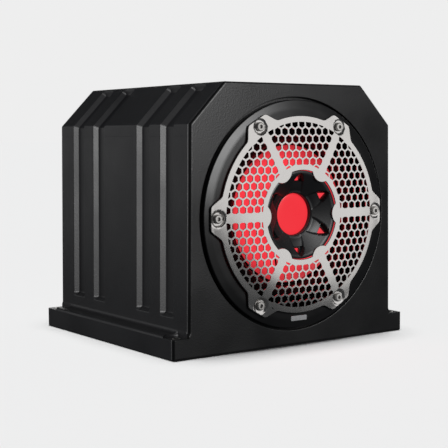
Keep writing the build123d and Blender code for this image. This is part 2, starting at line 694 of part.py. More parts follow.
def at_driver(radius, angle, depth):
    """A point at a radius and an angle from the driver's axis, and at a depth."""
    turned = math.radians(angle)
    return (radius * math.cos(turned), FRONT_Y + depth, DRIVER_Z + radius * math.sin(turned))


def tube(points, radii, radius, mode=Mode.ADD):
    """A round wire along straight runs joined by arcs."""
    with BuildLine() as route:
        FilletPolyline(*points, radius=radii)
    path = route.line
    with BuildSketch(Plane(origin=path @ 0, z_dir=path % 0)) as wire:
        Circle(radius)
    sweep(wire.sketch, path=path, mode=mode)


SPOKE_ANGLE = 240.0
LED_LEAD_END = (60.0, FRONT_Y + BOARD_DEPTH, 80.0)
with BuildPart() as led_lead:
    tube(
        [
            at_driver(POD_TUBE_R, SPOKE_ANGLE, 8.0),
            at_driver(52.0, SPOKE_ANGLE, 8.0),
            at_driver(72.0, SPOKE_ANGLE, -8.4),
            at_driver(106.0, SPOKE_ANGLE, -8.4),
            at_driver(LED_HOLE_R, LED_HOLE_ANGLE, -8.4),
            at_driver(LED_HOLE_R, LED_HOLE_ANGLE, 40.0),
            (10.0, FRONT_Y + 150.0, 40.0),
            (60.0, FRONT_Y + 225.0, 60.0),
            (60.0, FRONT_Y + 250.0, 80.0),
            LED_LEAD_END,
        ],
        [12, 12, 5, 4, 20, 40, 14, 10],
        1.1,
    )
save(led_lead, "led_lead")

# ---------------------------------------------------------------- amplifier, outside
PANEL_MIDDLE_Z = (AMP_LOW_Z + AMP_HIGH_Z) / 2
PANEL_HEIGHT = AMP_HIGH_Z - AMP_LOW_Z
PANEL_BACK = AMP_FACE - AMP_THICK
TERMINAL_BLOCK = (-78.0, 78.0)
FUSE_BLOCK = (-28.0, 78.0)
JACKS = [(22.0, 78.0), (44.0, 78.0)]
SWITCH = (38.0, KNOB_Z)
LAMP = (70.0, KNOB_Z)
FIN_COUNT = 27
FIN_PITCH = 8.0
FIN_LOW = 150.0
FIN_HIGH = 246.0

with BuildPart() as amp_plate:
    blocks(upright(PANEL_BACK), Locations((0, PANEL_MIDDLE_Z)), 2 * AMP_HALF_X, PANEL_HEIGHT, AMP_THICK)
    fillet(amp_plate.edges().filter_by(Axis.Y), 6.0)
    fin_row = GridLocations(FIN_PITCH, 0, FIN_COUNT, 1)
    with BuildSketch(upright(AMP_FACE - 0.1, (FIN_LOW + FIN_HIGH) / 2)) as fins:
        with fin_row:
            Rectangle(2.2, FIN_HIGH - FIN_LOW)
    extrude(fins.sketch, amount=-8.1)
    through = upright(PANEL_BACK - 1)
    discs(through, Locations(*AMP_SCREWS), 2.2, AMP_THICK + 2, mode=Mode.SUBTRACT)
    discs(through, Locations(*[(x, KNOB_Z) for x in KNOB_X]), 3.6, AMP_THICK + 2, mode=Mode.SUBTRACT)
    discs(through, Locations(*JACKS), 5.2, AMP_THICK + 2, mode=Mode.SUBTRACT)
    discs(through, Locations(LAMP), 2.6, AMP_THICK + 2, mode=Mode.SUBTRACT)
    blocks(through, Locations(TERMINAL_BLOCK), 58.4, 20.4, AMP_THICK + 2, mode=Mode.SUBTRACT)
    blocks(through, Locations(FUSE_BLOCK), 24.4, 24.4, AMP_THICK + 2, mode=Mode.SUBTRACT)
    blocks(through, Locations(SWITCH), 9.0, 4.4, AMP_THICK + 2, mode=Mode.SUBTRACT)
save(amp_plate, "amp_plate")

with BuildPart() as amp_gasket:
    middle = Locations((0, PANEL_MIDDLE_Z))
    blocks(upright(REAR_RECESS_DEPTH), middle, 248.0, 218.0, 1.0)
    blocks(upright(REAR_RECESS_DEPTH - 1), middle, 222.0, 192.0, 3.0, mode=Mode.SUBTRACT)
    discs(upright(REAR_RECESS_DEPTH - 1), Locations(*AMP_SCREWS), 2.3, 3.0, mode=Mode.SUBTRACT)
save(amp_gasket, "amp_gasket")

with BuildPart() as amp_screws:
    discs(upright(AMP_FACE), Locations(*AMP_SCREWS), 3.8, 2.4)
    fillet(amp_screws.faces().filter_by(Axis.Y).sort_by(Axis.Y)[-len(AMP_SCREWS) :].edges(), 1.0)
    discs(upright(AMP_FACE - 12.0), Locations(*AMP_SCREWS), 1.9, 12.0)
    socket(upright(AMP_FACE + 1.0), Locations(*AMP_SCREWS), 1.5, 2.0)
save(amp_screws, "amp_screws")

KNOB_R = 5.6
for knob_name, knob_x in zip(("gain_knob", "crossover_knob", "boost_knob"), KNOB_X):
    with BuildPart() as knob:
        discs(upright(AMP_FACE + CLEAR), Locations((knob_x, KNOB_Z)), KNOB_R, 7.5)
        chamfer(knob.faces().sort_by(Axis.Y)[-1].edges(), 0.8)
        # pointer slot and the bore for the shaft
        pointer = Locations((knob_x, KNOB_Z + 2.4))
        blocks(upright(AMP_FACE + 6.6), pointer, 1.0, 4.4, 2.0, mode=Mode.SUBTRACT)
        discs(upright(AMP_FACE - 1), Locations((knob_x, KNOB_Z)), 3.05, 7.0, mode=Mode.SUBTRACT)
    save(knob, knob_name)

POT_BACK = BOARD_DEPTH + BOARD_THICK
with BuildPart() as potentiometers:
    knob_places = Locations(*[(x, KNOB_Z) for x in KNOB_X])
    blocks(upright(POT_BACK), knob_places, 12.0, 13.0, PANEL_BACK - POT_BACK - 0.1)
    discs(upright(PANEL_BACK - 0.2), knob_places, 3.4, 2.6)
    discs(upright(PANEL_BACK), knob_places, 3.0, 9.6)
save(potentiometers, "potentiometers")

with BuildPart() as phase_switch_body:
    blocks(upright(POT_BACK), Locations(SWITCH), 14.0, 8.0, PANEL_BACK - POT_BACK - 0.1)
    blocks(upright(PANEL_BACK - 3.0), Locations(SWITCH), 8.6, 3.2, 4.0, mode=Mode.SUBTRACT)
save(phase_switch_body, "phase_switch_body")

SWITCH_TRAVEL = 4.0
with BuildPart() as phase_switch_slider:
    slider_at = Locations((SWITCH[0] - SWITCH_TRAVEL / 2, SWITCH[1]))
    blocks(upright(PANEL_BACK - 2.6), slider_at, 3.6, 2.4, 9.2)
save(phase_switch_slider, "phase_switch_slider")

with BuildPart() as rca_jacks:
    discs(upright(POT_BACK), Locations(*JACKS), 5.0, AMP_FACE + 1.0 - POT_BACK)
    discs(upright(AMP_FACE), Locations(*JACKS), 4.1, 8.0)
    discs(upright(AMP_FACE - 3.0), Locations(*JACKS), 3.3, 14.0, mode=Mode.SUBTRACT)
save(rca_jacks, "rca_jacks")

with BuildPart() as rca_centres:
    discs(upright(AMP_FACE - 2.9), Locations(*JACKS), 3.2, 10.4)
    discs(upright(AMP_FACE + 1.5), Locations(*JACKS), 1.6, 8.0, mode=Mode.SUBTRACT)
save(rca_centres, "rca_centres")

ENTRY_X = [TERMINAL_BLOCK[0] + offset for offset in (-20.0, 0.0, 18.0)]
ENTRY_R = (3.5, 3.5, 1.8)
TERMINAL_FRONT = AMP_FACE + 7.5
with BuildPart() as power_terminal_block:
    blocks(upright(POT_BACK), Locations(TERMINAL_BLOCK), 58.0, 20.0, TERMINAL_FRONT - POT_BACK)
    chamfer(power_terminal_block.faces().sort_by(Axis.Y)[-1].edges(), 0.8)
    for entry_x, entry_r in zip(ENTRY_X, ENTRY_R):
        entry = Locations((entry_x, TERMINAL_BLOCK[1] - 3.5))
        discs(upright(TERMINAL_FRONT - 16.0), entry, entry_r, 18.0, mode=Mode.SUBTRACT)
        head = Locations((entry_x, TERMINAL_BLOCK[1] + 5.6))
        discs(upright(TERMINAL_FRONT - 5.0), head, 2.7, 6.0, mode=Mode.SUBTRACT)
save(power_terminal_block, "power_terminal_block")

with BuildPart() as terminal_screws:
    heads = Locations(*[(x, TERMINAL_BLOCK[1] + 5.6) for x in ENTRY_X])
    discs(upright(TERMINAL_FRONT - 4.9), heads, 2.5, 3.6)
    socket(upright(TERMINAL_FRONT - 3.0), heads, 1.4, 3.0)
save(terminal_screws, "terminal_screws")

FUSE_X = [FUSE_BLOCK[0] - 5.5, FUSE_BLOCK[0] + 5.5]
with BuildPart() as fuse_holder:
    blocks(upright(POT_BACK), Locations(FUSE_BLOCK), 24.0, 24.0, AMP_FACE + 1.5 - POT_BACK)
    fuse_places = Locations(*[(x, FUSE_BLOCK[1]) for x in FUSE_X])
    blocks(upright(AMP_FACE - 12.0), fuse_places, 5.6, 19.6, 15.0, mode=Mode.SUBTRACT)
save(fuse_holder, "fuse_holder")

with BuildPart() as fuses:
    blocks(upright(AMP_FACE - 4.0), fuse_places, 5.0, 19.0, 12.0)
    fillet(fuses.edges().filter_by(Axis.Y), 1.0)
    for blade_z in (-7.0, 7.0):
        blade_places = Locations(*[(x, FUSE_BLOCK[1] + blade_z) for x in FUSE_X])
        blocks(upright(AMP_FACE - 11.5), blade_places, 0.8, 5.0, 7.6)
save(fuses, "fuses")

with BuildPart() as power_lamp:
    discs(upright(PANEL_BACK - 6.0), Locations(LAMP), 2.5, 10.6)
    fillet(power_lamp.faces().sort_by(Axis.Y)[-1].edges(), 1.2)
save(power_lamp, "power_lamp")

# ---------------------------------------------------------------- amplifier, inside
BOARD_LOW = 56.0
BOARD_HIGH = 170.0
BOARD_MIDDLE_Z = (BOARD_LOW + BOARD_HIGH) / 2
STANDOFFS = GridLocations(168.0, 104.0, 2, 2)

with BuildPart() as amp_board:
    board = upright(BOARD_DEPTH, BOARD_MIDDLE_Z)
    blocks(board, Locations((0, 0)), 180.0, BOARD_HIGH - BOARD_LOW, BOARD_THICK)
    discs(upright(BOARD_DEPTH - 1, BOARD_MIDDLE_Z), STANDOFFS, 1.6, 4.0, mode=Mode.SUBTRACT)
save(amp_board, "amp_board")

with BuildPart() as standoffs:
    discs(upright(POT_BACK, BOARD_MIDDLE_Z), STANDOFFS, 3.0, PANEL_BACK - POT_BACK)
save(standoffs, "standoffs")

with BuildPart() as board_screws:
    discs(upright(BOARD_DEPTH - 2.0, BOARD_MIDDLE_Z), STANDOFFS, 2.8, 2.0)
    discs(upright(BOARD_DEPTH, BOARD_MIDDLE_Z), STANDOFFS, 1.5, BOARD_THICK)
save(board_screws, "board_screws")

with BuildPart() as toroid:
    with Locations((-52.0, FRONT_Y + BOARD_DEPTH - 11.0, 128.0)):
        Torus(19.0, 9.0, rotation=(90, 0, 0))
save(toroid, "toroid")

CAPACITORS = Locations((0.0, 140.0), (22.0, 140.0), (44.0, 140.0), (66.0, 140.0))
with BuildPart() as capacitors:
    discs(upright(BOARD_DEPTH - 35.0), CAPACITORS, 9.0, 35.0)
    fillet(capacitors.faces().filter_by(Axis.Y).sort_by(Axis.Y)[:4].edges(), 1.2)
save(capacitors, "capacitors")

with BuildPart() as chokes:
    chip_places = Locations((-20.0, 95.0), (10.0, 95.0), (36.0, 95.0))
    blocks(upright(BOARD_DEPTH - 9.0), chip_places, 14.0, 14.0, 9.0)
    fillet(chokes.edges().filter_by(Axis.Y), 2.0)
save(chokes, "chokes")

TRANSISTOR_X = (-75.0, -45.0, -15.0, 15.0, 45.0, 75.0)
with BuildPart() as power_transistors:
    bodies = Locations(*[(x, 186.0) for x in TRANSISTOR_X])
    blocks(upright(PANEL_BACK - 4.6), bodies, 10.2, 15.0, 4.6)
    for leg in (-2.54, 0.0, 2.54):
        legs_down = Locations(*[(x + leg, 172.0) for x in TRANSISTOR_X])
        blocks(upright(PANEL_BACK - 3.0), legs_down, 0.9, 14.0, 0.7)
        legs_back = Locations(*[(x + leg, 165.4) for x in TRANSISTOR_X])
        blocks(upright(POT_BACK), legs_back, 0.9, 0.8, PANEL_BACK - 3.0 - POT_BACK + 0.7)
save(power_transistors, "power_transistors")

with BuildPart() as speaker_wires:
    for wire_side in (-1, 1):
        tab_x = wire_side * TERMINAL_X
        tab_foot = ARM_PLANE.from_local_coords((tab_x, 3, 12.4))
        board_point = (-70.0 + 12.0 * wire_side, FRONT_Y + BOARD_DEPTH, 84.0)
        tube(
            [
                tab_foot,
                (tab_x, tab_foot.Y + 9.0, tab_foot.Z - 14.0),
                (tab_x, FRONT_Y + 130.0, 24.0),
                (tab_x - 25.0, FRONT_Y + 190.0, 30.0),
                (board_point[0], FRONT_Y + 240.0, 84.0),
                board_point,
            ],
            [14, 30, 60, 20],
            1.4,
        )
save(speaker_wires, "speaker_wires")
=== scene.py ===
"""Looks of the powered car subwoofer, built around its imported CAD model.

X is the width seen from the front, Y runs from the front to the back and Z is up. The model is in metres.
Sizes in the classes are millimetres, and a depth is counted from the front face towards the back.
"""

import logging
import math
from dataclasses import dataclass, field
from enum import Enum
from typing import Callable, Iterable, Optional, Sequence, Union

import bmesh
import bpy
from mathutils import Matrix, Vector


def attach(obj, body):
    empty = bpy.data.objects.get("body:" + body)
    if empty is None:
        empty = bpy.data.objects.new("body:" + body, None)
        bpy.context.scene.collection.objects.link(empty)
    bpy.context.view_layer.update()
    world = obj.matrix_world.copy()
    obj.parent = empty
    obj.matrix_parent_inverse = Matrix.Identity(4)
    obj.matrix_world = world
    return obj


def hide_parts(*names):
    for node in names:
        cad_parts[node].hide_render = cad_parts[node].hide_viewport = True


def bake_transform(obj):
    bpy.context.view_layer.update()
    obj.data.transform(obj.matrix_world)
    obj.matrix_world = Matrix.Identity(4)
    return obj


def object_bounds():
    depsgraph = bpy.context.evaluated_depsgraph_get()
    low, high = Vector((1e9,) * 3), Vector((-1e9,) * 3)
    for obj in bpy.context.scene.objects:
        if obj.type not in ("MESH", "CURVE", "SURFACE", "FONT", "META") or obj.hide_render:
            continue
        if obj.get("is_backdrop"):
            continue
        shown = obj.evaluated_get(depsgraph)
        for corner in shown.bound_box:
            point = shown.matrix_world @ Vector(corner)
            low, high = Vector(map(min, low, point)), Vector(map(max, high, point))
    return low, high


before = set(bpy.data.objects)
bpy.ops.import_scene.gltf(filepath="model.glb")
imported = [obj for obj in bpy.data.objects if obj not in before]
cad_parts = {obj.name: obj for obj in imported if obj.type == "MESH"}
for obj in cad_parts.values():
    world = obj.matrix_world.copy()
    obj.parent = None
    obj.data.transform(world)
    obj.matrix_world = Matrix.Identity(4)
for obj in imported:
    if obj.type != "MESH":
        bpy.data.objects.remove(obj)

LOG = logging.getLogger("subwoofer")

MM = 0.001
FRONT_Y = -152.5
DRIVER_Z = 156.0
SPOKES = 6
BOLT_X = 163.0
BOLT_Y = 141.5
FIXED = "cabinet"
MOVING = "cone_assembly"

Pair = tuple[float, float]
Point = tuple[float, float, float]
Colour = tuple[float, float, float]
Number = Union[float, bpy.types.NodeSocket]


# ---------------------------------------------------------------- finishes
class Grain(Enum):
    """How a surface is broken up close by."""

    PEBBLE = "pebble"
    FINE = "fine"
    TURNED = "turned"
    BRUSHED = "brushed"
    PULP = "pulp"
    WOVEN = "woven"


def linear(red: float, green: float, blue: float) -> Colour:
    """Turns a display colour, 0 to 255, into a linear one."""
    shares = (red / 255, green / 255, blue / 255)
    return tuple(c / 12.92 if c <= 0.04045 else ((c + 0.055) / 1.055) ** 2.4 for c in shares)


@dataclass(frozen=True)
class Finish:
    """One finish: its colour, gloss and the grain that breaks it up."""

    name: str
    colour: Colour
    roughness: float
    grain: Grain = Grain.FINE
    metallic: float = 0.0
    specular: float = 0.5
    shade: float = 0.8
    roughness_spread: float = 0.06
    grain_scale: float = 900.0
    grain_height: float = 0.00004
    coat: float = 0.0
    glow: Optional[Colour] = None
    glow_strength: float = 0.0
    glow_span: Optional[Pair] = None

    def material(self) -> bpy.types.Material:
        """Builds the material, or gives the one built before.

        Returns:
            The material of this finish.
        """
        known = bpy.data.materials.get(self.name)
        if known:
            return known
        material = bpy.data.materials.new(self.name)
        material.use_nodes = True
        material.diffuse_color = (*self.colour, 1.0)
        nodes = material.node_tree.nodes
        links = material.node_tree.links
        shader = nodes["Principled BSDF"]
        shader.inputs["Metallic"].default_value = self.metallic
        shader.inputs["Specular IOR Level"].default_value = self.specular
        shader.inputs["Coat Weight"].default_value = self.coat
        shader.inputs["Coat Roughness"].default_value = 0.12
        place = nodes.new("ShaderNodeTexCoord").outputs["Object"]

        cloud = nodes.new("ShaderNodeTexNoise")
        cloud.inputs["Scale"].default_value = 14.0
        cloud.inputs["Detail"].default_value = 5.0
        links.new(place, cloud.inputs["Vector"])
        tint = nodes.new("ShaderNodeValToRGB")
        tint.color_ramp.elements[0].position = 0.3
        tint.color_ramp.elements[1].position = 0.7
        tint.color_ramp.elements[0].color = (*(c * self.shade for c in self.colour), 1.0)
        tint.color_ramp.elements[1].color = (*self.colour, 1.0)
        links.new(cloud.outputs["Fac"], tint.inputs["Fac"])
        links.new(tint.outputs["Color"], shader.inputs["Base Color"])

        wear = nodes.new("ShaderNodeMapRange")
        wear.inputs["From Min"].default_value = 0.3
        wear.inputs["From Max"].default_value = 0.7
        wear.inputs["To Min"].default_value = self.roughness - self.roughness_spread
        wear.inputs["To Max"].default_value = self.roughness + self.roughness_spread
        links.new(cloud.outputs["Fac"], wear.inputs["Value"])
        links.new(wear.outputs["Result"], shader.inputs["Roughness"])

        bump = nodes.new("ShaderNodeBump")
        bump.inputs["Strength"].default_value = 1.0
        bump.inputs["Distance"].default_value = self.grain_height
        links.new(self._grain_height(nodes, links, place), bump.inputs["Height"])
        links.new(bump.outputs["Normal"], shader.inputs["Normal"])
        if self.glow:
            self._add_glow(nodes, links, place, shader)
        return material

    def _grain_height(
        self, nodes: bpy.types.Nodes, links: bpy.types.NodeLinks, place: bpy.types.NodeSocket
    ) -> bpy.types.NodeSocket:
        """Builds the height pattern of the grain.

        Args:
            nodes: Nodes of the material.
            links: Links of the material.
            place: Socket with the object coordinates.

        Returns:
            The socket that carries the height.
        """
        if self.grain is Grain.PEBBLE:
            cells = nodes.new("ShaderNodeTexVoronoi")
            cells.feature = "SMOOTH_F1"
            cells.inputs["Scale"].default_value = self.grain_scale
            cells.inputs["Smoothness"].default_value = 0.6
            links.new(place, cells.inputs["Vector"])
            return cells.outputs["Distance"]
        if self.grain is Grain.TURNED:
            turned = nodes.new("ShaderNodeMapping")
            turned.inputs["Location"].default_value = (0.0, 0.0, -DRIVER_Z * MM)
            links.new(place, turned.inputs["Vector"])
            rings = nodes.new("ShaderNodeTexWave")
            rings.wave_type = "RINGS"
            rings.rings_direction = "Y"
            rings.inputs["Scale"].default_value = self.grain_scale
            rings.inputs["Distortion"].default_value = 2.0
            links.new(turned.outputs["Vector"], rings.inputs["Vector"])
            return rings.outputs["Fac"]
        if self.grain is Grain.WOVEN:
            wave = nodes.new("ShaderNodeTexWave")
            wave.inputs["Scale"].default_value = self.grain_scale
            links.new(place, wave.inputs["Vector"])
            return wave.outputs["Fac"]
        noise = nodes.new("ShaderNodeTexNoise")
        noise.inputs["Scale"].default_value = self.grain_scale
        noise.inputs["Detail"].default_value = 4.0
        vector = place
        if self.grain is Grain.BRUSHED:
            stretch = nodes.new("ShaderNodeMapping")
            stretch.inputs["Scale"].default_value = (0.04, 0.4, 1.0)
            links.new(place, stretch.inputs["Vector"])
            vector = stretch.outputs["Vector"]
        links.new(vector, noise.inputs["Vector"])
        return noise.outputs["Fac"]

    def _add_glow(
        self, nodes: bpy.types.Nodes, links: bpy.types.NodeLinks, place: bpy.types.NodeSocket,
        shader: bpy.types.Node,
    ) -> None:
        """Adds light given off: a lamp's own light, or painted light on a part that is no lamp, which may
        fade with the distance from the driver's axis.

        Args:
            nodes: Nodes of the material.
            links: Links of the material.
            place: Socket with the object coordinates.
            shader: The Principled shader.
        """
        shader.inputs["Emission Color"].default_value = (*self.glow, 1.0)
        shader.inputs["Emission Strength"].default_value = self.glow_strength
        if not self.glow_span:
            return
        centred = nodes.new("ShaderNodeMapping")
        centred.inputs["Location"].default_value = (0.0, 0.0, -DRIVER_Z * MM)
        centred.inputs["Scale"].default_value = (1.0, 0.0, 1.0)
        links.new(place, centred.inputs["Vector"])
        away = nodes.new("ShaderNodeVectorMath")
        away.operation = "LENGTH"
        links.new(centred.outputs["Vector"], away.inputs[0])
        fade = nodes.new("ShaderNodeMapRange")
        fade.interpolation_type = "SMOOTHSTEP"
        fade.inputs["From Min"].default_value = self.glow_span[0] * MM
        fade.inputs["From Max"].default_value = self.glow_span[1] * MM
        fade.inputs["To Min"].default_value = self.glow_strength
        fade.inputs["To Max"].default_value = self.glow_strength * 0.25
        links.new(away.outputs["Value"], fade.inputs["Value"])
        links.new(fade.outputs["Result"], shader.inputs["Emission Strength"])


SHELL_PLASTIC = Finish(
    "Cabinet plastic", linear(20, 20, 22), 0.45, Grain.PEBBLE, grain_scale=700, grain_height=0.00008
)
BAFFLE_PLASTIC = Finish(
    "Baffle plastic", linear(17, 17, 18), 0.38, Grain.PEBBLE, grain_scale=620, grain_height=0.0001
)
RING_PLASTIC = Finish("Trim ring plastic", linear(13, 13, 14), 0.33, grain_scale=1600, grain_height=0.00001)
POD_PLASTIC = Finish(
    "Pod plastic", linear(17, 18, 20), 0.4, Grain.PEBBLE, grain_scale=900, grain_height=0.00004
)
GASKET_RUBBER = Finish("Gasket rubber", linear(16, 16, 16), 0.8, grain_height=0.00008)
SURROUND_RUBBER = Finish("Surround rubber", linear(22, 21, 22), 0.55, grain_scale=500, grain_height=0.00003)
GRILLE_STEEL = Finish(
    "Grille steel", linear(222, 219, 216), 0.24, Grain.BRUSHED, 1.0, shade=0.94, grain_scale=2600,
    roughness_spread=0.03, grain_height=0.000004,
)
# Near-black walls of the punched holes and sheet edges: painted shade, so that no red glow or reflection
# shows in them; the real walls are bare steel.
PAINTED_SHADE_HOLE_WALLS = Finish("Punched edge", linear(9, 9, 9), 0.9, grain_height=0.00001)
SCREW_STEEL = Finish(
    "Screw steel", linear(214, 211, 207), 0.34, metallic=1.0, shade=0.9, grain_height=0.000006
)
BLACK_SCREWS = Finish("Black screws", linear(30, 30, 31), 0.36, metallic=0.6, grain_height=0.00001)
BADGE_METAL = Finish("Badge metal", linear(225, 225, 227), 0.4, Grain.BRUSHED, 0.5, grain_scale=2400)
BASKET_PAINT = Finish("Basket paint", linear(20, 20, 21), 0.5, grain_scale=800, grain_height=0.00005)
# The cone's red glow is painted light: it stands in for the red light of the hub's lamps, though the cone is
# no lamp, strongest near the axis and fading between 60 and 90 mm out. The dust cap shares it.
CONE_PULP_PAINTED_GLOW = Finish(
    "Cone pulp", linear(150, 22, 30), 0.6, Grain.PULP, shade=0.85, grain_scale=260, grain_height=0.0002,
    glow=linear(250, 62, 74), glow_strength=0.82, glow_span=(60.0, 90.0),
)
SPIDER_CLOTH = Finish("Spider cloth", linear(170, 140, 80), 0.85, Grain.WOVEN, grain_scale=800)
COIL_COPPER = Finish("Coil copper", linear(190, 110, 70), 0.35, Grain.TURNED, 1.0, grain_scale=900)
FORMER_ALUMINIUM = Finish("Former aluminium", linear(190, 192, 195), 0.35, metallic=1.0)
MAGNET_FERRITE = Finish("Magnet ferrite", linear(42, 42, 44), 0.55)
MOTOR_STEEL = Finish("Motor steel", linear(120, 122, 125), 0.4, Grain.TURNED, 1.0, grain_scale=700)
LENS_RED = Finish(
    "Lens red", linear(120, 8, 14), 0.3, grain_scale=500, grain_height=0.00001,
    glow=linear(240, 52, 62), glow_strength=0.86,
)
BOARD_GREEN = Finish("Board green", linear(22, 70, 40), 0.4)
LED_CHIP = Finish("Light chips", linear(220, 90, 80), 0.3, glow=linear(255, 40, 40), glow_strength=2.0)
WIRE_BLACK = Finish("Wire black", linear(18, 18, 19), 0.5)
AMP_ALUMINIUM = Finish("Amplifier aluminium", linear(28, 28, 30), 0.4, Grain.FINE, 0.55, grain_scale=1200)
KNOB_PLASTIC = Finish("Knob plastic", linear(24, 24, 25), 0.45)
POT_METAL = Finish("Pot metal", linear(180, 178, 170), 0.35, metallic=1.0)
SWITCH_PLASTIC = Finish("Switch plastic", linear(205, 205, 200), 0.45)
JACK_METAL = Finish("Jack metal", linear(214, 176, 96), 0.26, Grain.TURNED, 1.0, grain_scale=1500)
JACK_CREAM = Finish("Jack insulator", linear(235, 232, 224), 0.4)
TERMINAL_PLASTIC = Finish("Terminal plastic", linear(22, 22, 24), 0.42)
TERMINAL_BRASS = Finish("Terminal brass", linear(206, 170, 98), 0.3, metallic=1.0)
FUSE_PLASTIC = Finish("Fuse plastic", linear(210, 120, 24), 0.25, coat=0.4)
LAMP_LENS = Finish(
    "Lamp lens", linear(30, 90, 190), 0.2, coat=0.6, glow=linear(40, 110, 255), glow_strength=0.5
)
CAPACITOR_SLEEVE = Finish("Capacitor sleeve", linear(28, 34, 66), 0.35)
TRANSISTOR_EPOXY = Finish("Transistor epoxy", linear(24, 24, 25), 0.5)
BASE_BOARD = Finish(
    "Base board", linear(24, 24, 26), 0.55, Grain.PEBBLE, grain_scale=600, grain_height=0.00008
)
SLEEVE_STEEL = Finish("Sleeve steel", linear(200, 198, 192), 0.3, Grain.TURNED, 1.0, grain_scale=1400)


# ---------------------------------------------------------------- outlines
def rounded(corners: Sequence[Point], steps: int = 6) -> list[Pair]:
    """Rounds the corners of a closed outline.

    Args:
        corners: Places and radii; a radius of 0 leaves the corner as one point.
        steps: Chords in each rounded corner.

    Returns:
        The points of the rounded outline.
    """
    made: list[Pair] = []
    for i, (x, z, radius) in enumerate(corners):
        here = Vector((x, z))
        if radius <= 0:
            made.append((x, z))
            continue
        back = (Vector(corners[i - 1][:2]) - here).normalized()
        ahead = (Vector(corners[(i + 1) % len(corners)][:2]) - here).normalized()
        half = back.angle(ahead) / 2
        centre = here + (back + ahead).normalized() * (radius / math.sin(half))
        first = here + back * (radius / math.tan(half)) - centre
        last = here + ahead * (radius / math.tan(half)) - centre
        start = math.atan2(first.y, first.x)
        sweep = (math.atan2(last.y, last.x) - start + math.pi) % (2 * math.pi) - math.pi
        for k in range(steps + 1):
            angle = start + sweep * k / steps
            made.append((centre.x + radius * math.cos(angle), centre.y + radius * math.sin(angle)))
    return made


def rectangle(
    width: float, height: float, radius: float, middle: Pair = (0.0, 0.0), steps: int = 5
) -> list[Pair]:
    """A rectangle with rounded corners.

    Args:
        width: Its width.
        height: Its height.
        radius: Corner radius.
        middle: Its centre.
        steps: Chords in each corner.

    Returns:
        Its points, anticlockwise.
    """
    x, z = width / 2, height / 2
    signs = ((1, -1), (1, 1), (-1, 1), (-1, -1))
    return rounded([(middle[0] + a * x, middle[1] + b * z, radius) for a, b in signs], steps)


def circle(radius: float, count: int, middle: Pair = (0.0, 0.0), turn: float = 0.0) -> list[Pair]:
    """Points on a circle, anticlockwise.

    Args:
        radius: Its radius.
        count: How many points.
        middle: Its centre.
        turn: Angle of the first point in degrees.

    Returns:
        The points.
    """
    angles = [math.radians(turn) + 2 * math.pi * i / count for i in range(count)]
    return [(middle[0] + radius * math.cos(a), middle[1] + radius * math.sin(a)) for a in angles]


def shifted(outline: Sequence[Pair], inset: float) -> list[Pair]:
    """Moves an anticlockwise outline inwards.

    Args:
        outline: Its points.
        inset: How far it moves; negative moves it outwards.

    Returns:
        The moved points.
    """
    made = []
    count = len(outline)
    for i, (x, z) in enumerate(outline):
        before = Vector((x - outline[i - 1][0], z - outline[i - 1][1]))
        after = Vector((outline[(i + 1) % count][0] - x, outline[(i + 1) % count][1] - z))
        along = before.normalized() + after.normalized()
        inward = Vector((-along.y, along.x)).normalized()
        share = max(0.5, inward.dot(Vector((-after.y, after.x)).normalized()))
        made.append((x + inward.x * inset / share, z + inward.y * inset / share))
    return made


def smoothstep(share: float) -> float:
    """Eases from 0 to 1."""
    share = min(1.0, max(0.0, share))
    return share * share * (3 - 2 * share)


def arc_steps(radius: float, steps: int) -> list[Pair]:
    """A quarter round as (distance along, inset) from a square end to the flank."""
    angles = [math.pi / 2 * k / steps for k in range(steps + 1)]
    return [(radius * (1 - math.cos(a)), radius * (1 - math.sin(a))) for a in angles]


# ---------------------------------------------------------------- meshes
def make_object(name: str, points: Iterable[Point], faces: Iterable[Sequence[int]]) -> bpy.types.Object:
    """Makes a mesh object at the origin from points in millimetres, with its faces turned outwards.

    Args:
        name: The object's name.
        points: Its corners.
        faces: Its faces, as indices.

    Returns:
        The object, in the scene.
    """
    mesh = bpy.data.meshes.new(name)
    mesh.from_pydata([(x * MM, y * MM, z * MM) for x, y, z in points], [], list(faces))
    shape = bmesh.new()
    shape.from_mesh(mesh)
    bmesh.ops.remove_doubles(shape, verts=shape.verts, dist=1e-7)
    bmesh.ops.recalc_face_normals(shape, faces=shape.faces)
    shape.to_mesh(mesh)
    shape.free()
    made = bpy.data.objects.new(name, mesh)
    bpy.context.scene.collection.objects.link(made)
    return made


def loft(name: str, loops: Sequence[Sequence[Point]]) -> bpy.types.Object:
    """Joins closed loops of equal length into a capped solid.

    Args:
        name: The object's name.
        loops: The loops, in order.

    Returns:
        The solid.
    """
    count = len(loops[0])
    points = [p for loop in loops for p in loop]
    faces: list[Sequence[int]] = []
    for row in range(len(loops) - 1):
        low, high = row * count, (row + 1) * count
        for i in range(count):
            j = (i + 1) % count
            faces.append((low + i, low + j, high + j, high + i))
    faces.append(tuple(range(count)))
    faces.append(tuple(range((len(loops) - 1) * count, len(loops) * count)))
    return make_object(name, points, faces)


def closed_loft(name: str, loops: Sequence[Sequence[Point]]) -> bpy.types.Object:
    """Joins closed loops of equal length into a ring-like solid, the last one to the first.

    Args:
        name: The object's name.
        loops: The loops, in order.

    Returns:
        The solid.
    """
    count = len(loops[0])
    points = [p for loop in loops for p in loop]
    faces = []
    for row in range(len(loops)):
        low, high = row * count, ((row + 1) % len(loops)) * count
        for i in range(count):
            j = (i + 1) % count
            faces.append((low + i, low + j, high + j, high + i))
    return make_object(name, points, faces)


def prism(
    name: str, outline: Sequence[Pair], stations: Sequence[Pair], middle: Pair = (0.0, 0.0)
) -> bpy.types.Object:
    """A bar along the depth, whose outline may draw in at some stations.

    Args:
        name: The object's name.
        outline: Its outline, anticlockwise from the front.
        stations: Depths and insets, from front to back.
        middle: Where the outline's origin lies, in X and Z.

    Returns:
        The bar.
    """
    loops = []
    for depth, inset in stations:
        ring = shifted(outline, inset) if inset else outline
        loops.append([(x + middle[0], FRONT_Y + depth, z + middle[1]) for x, z in ring])
    return loft(name, loops)


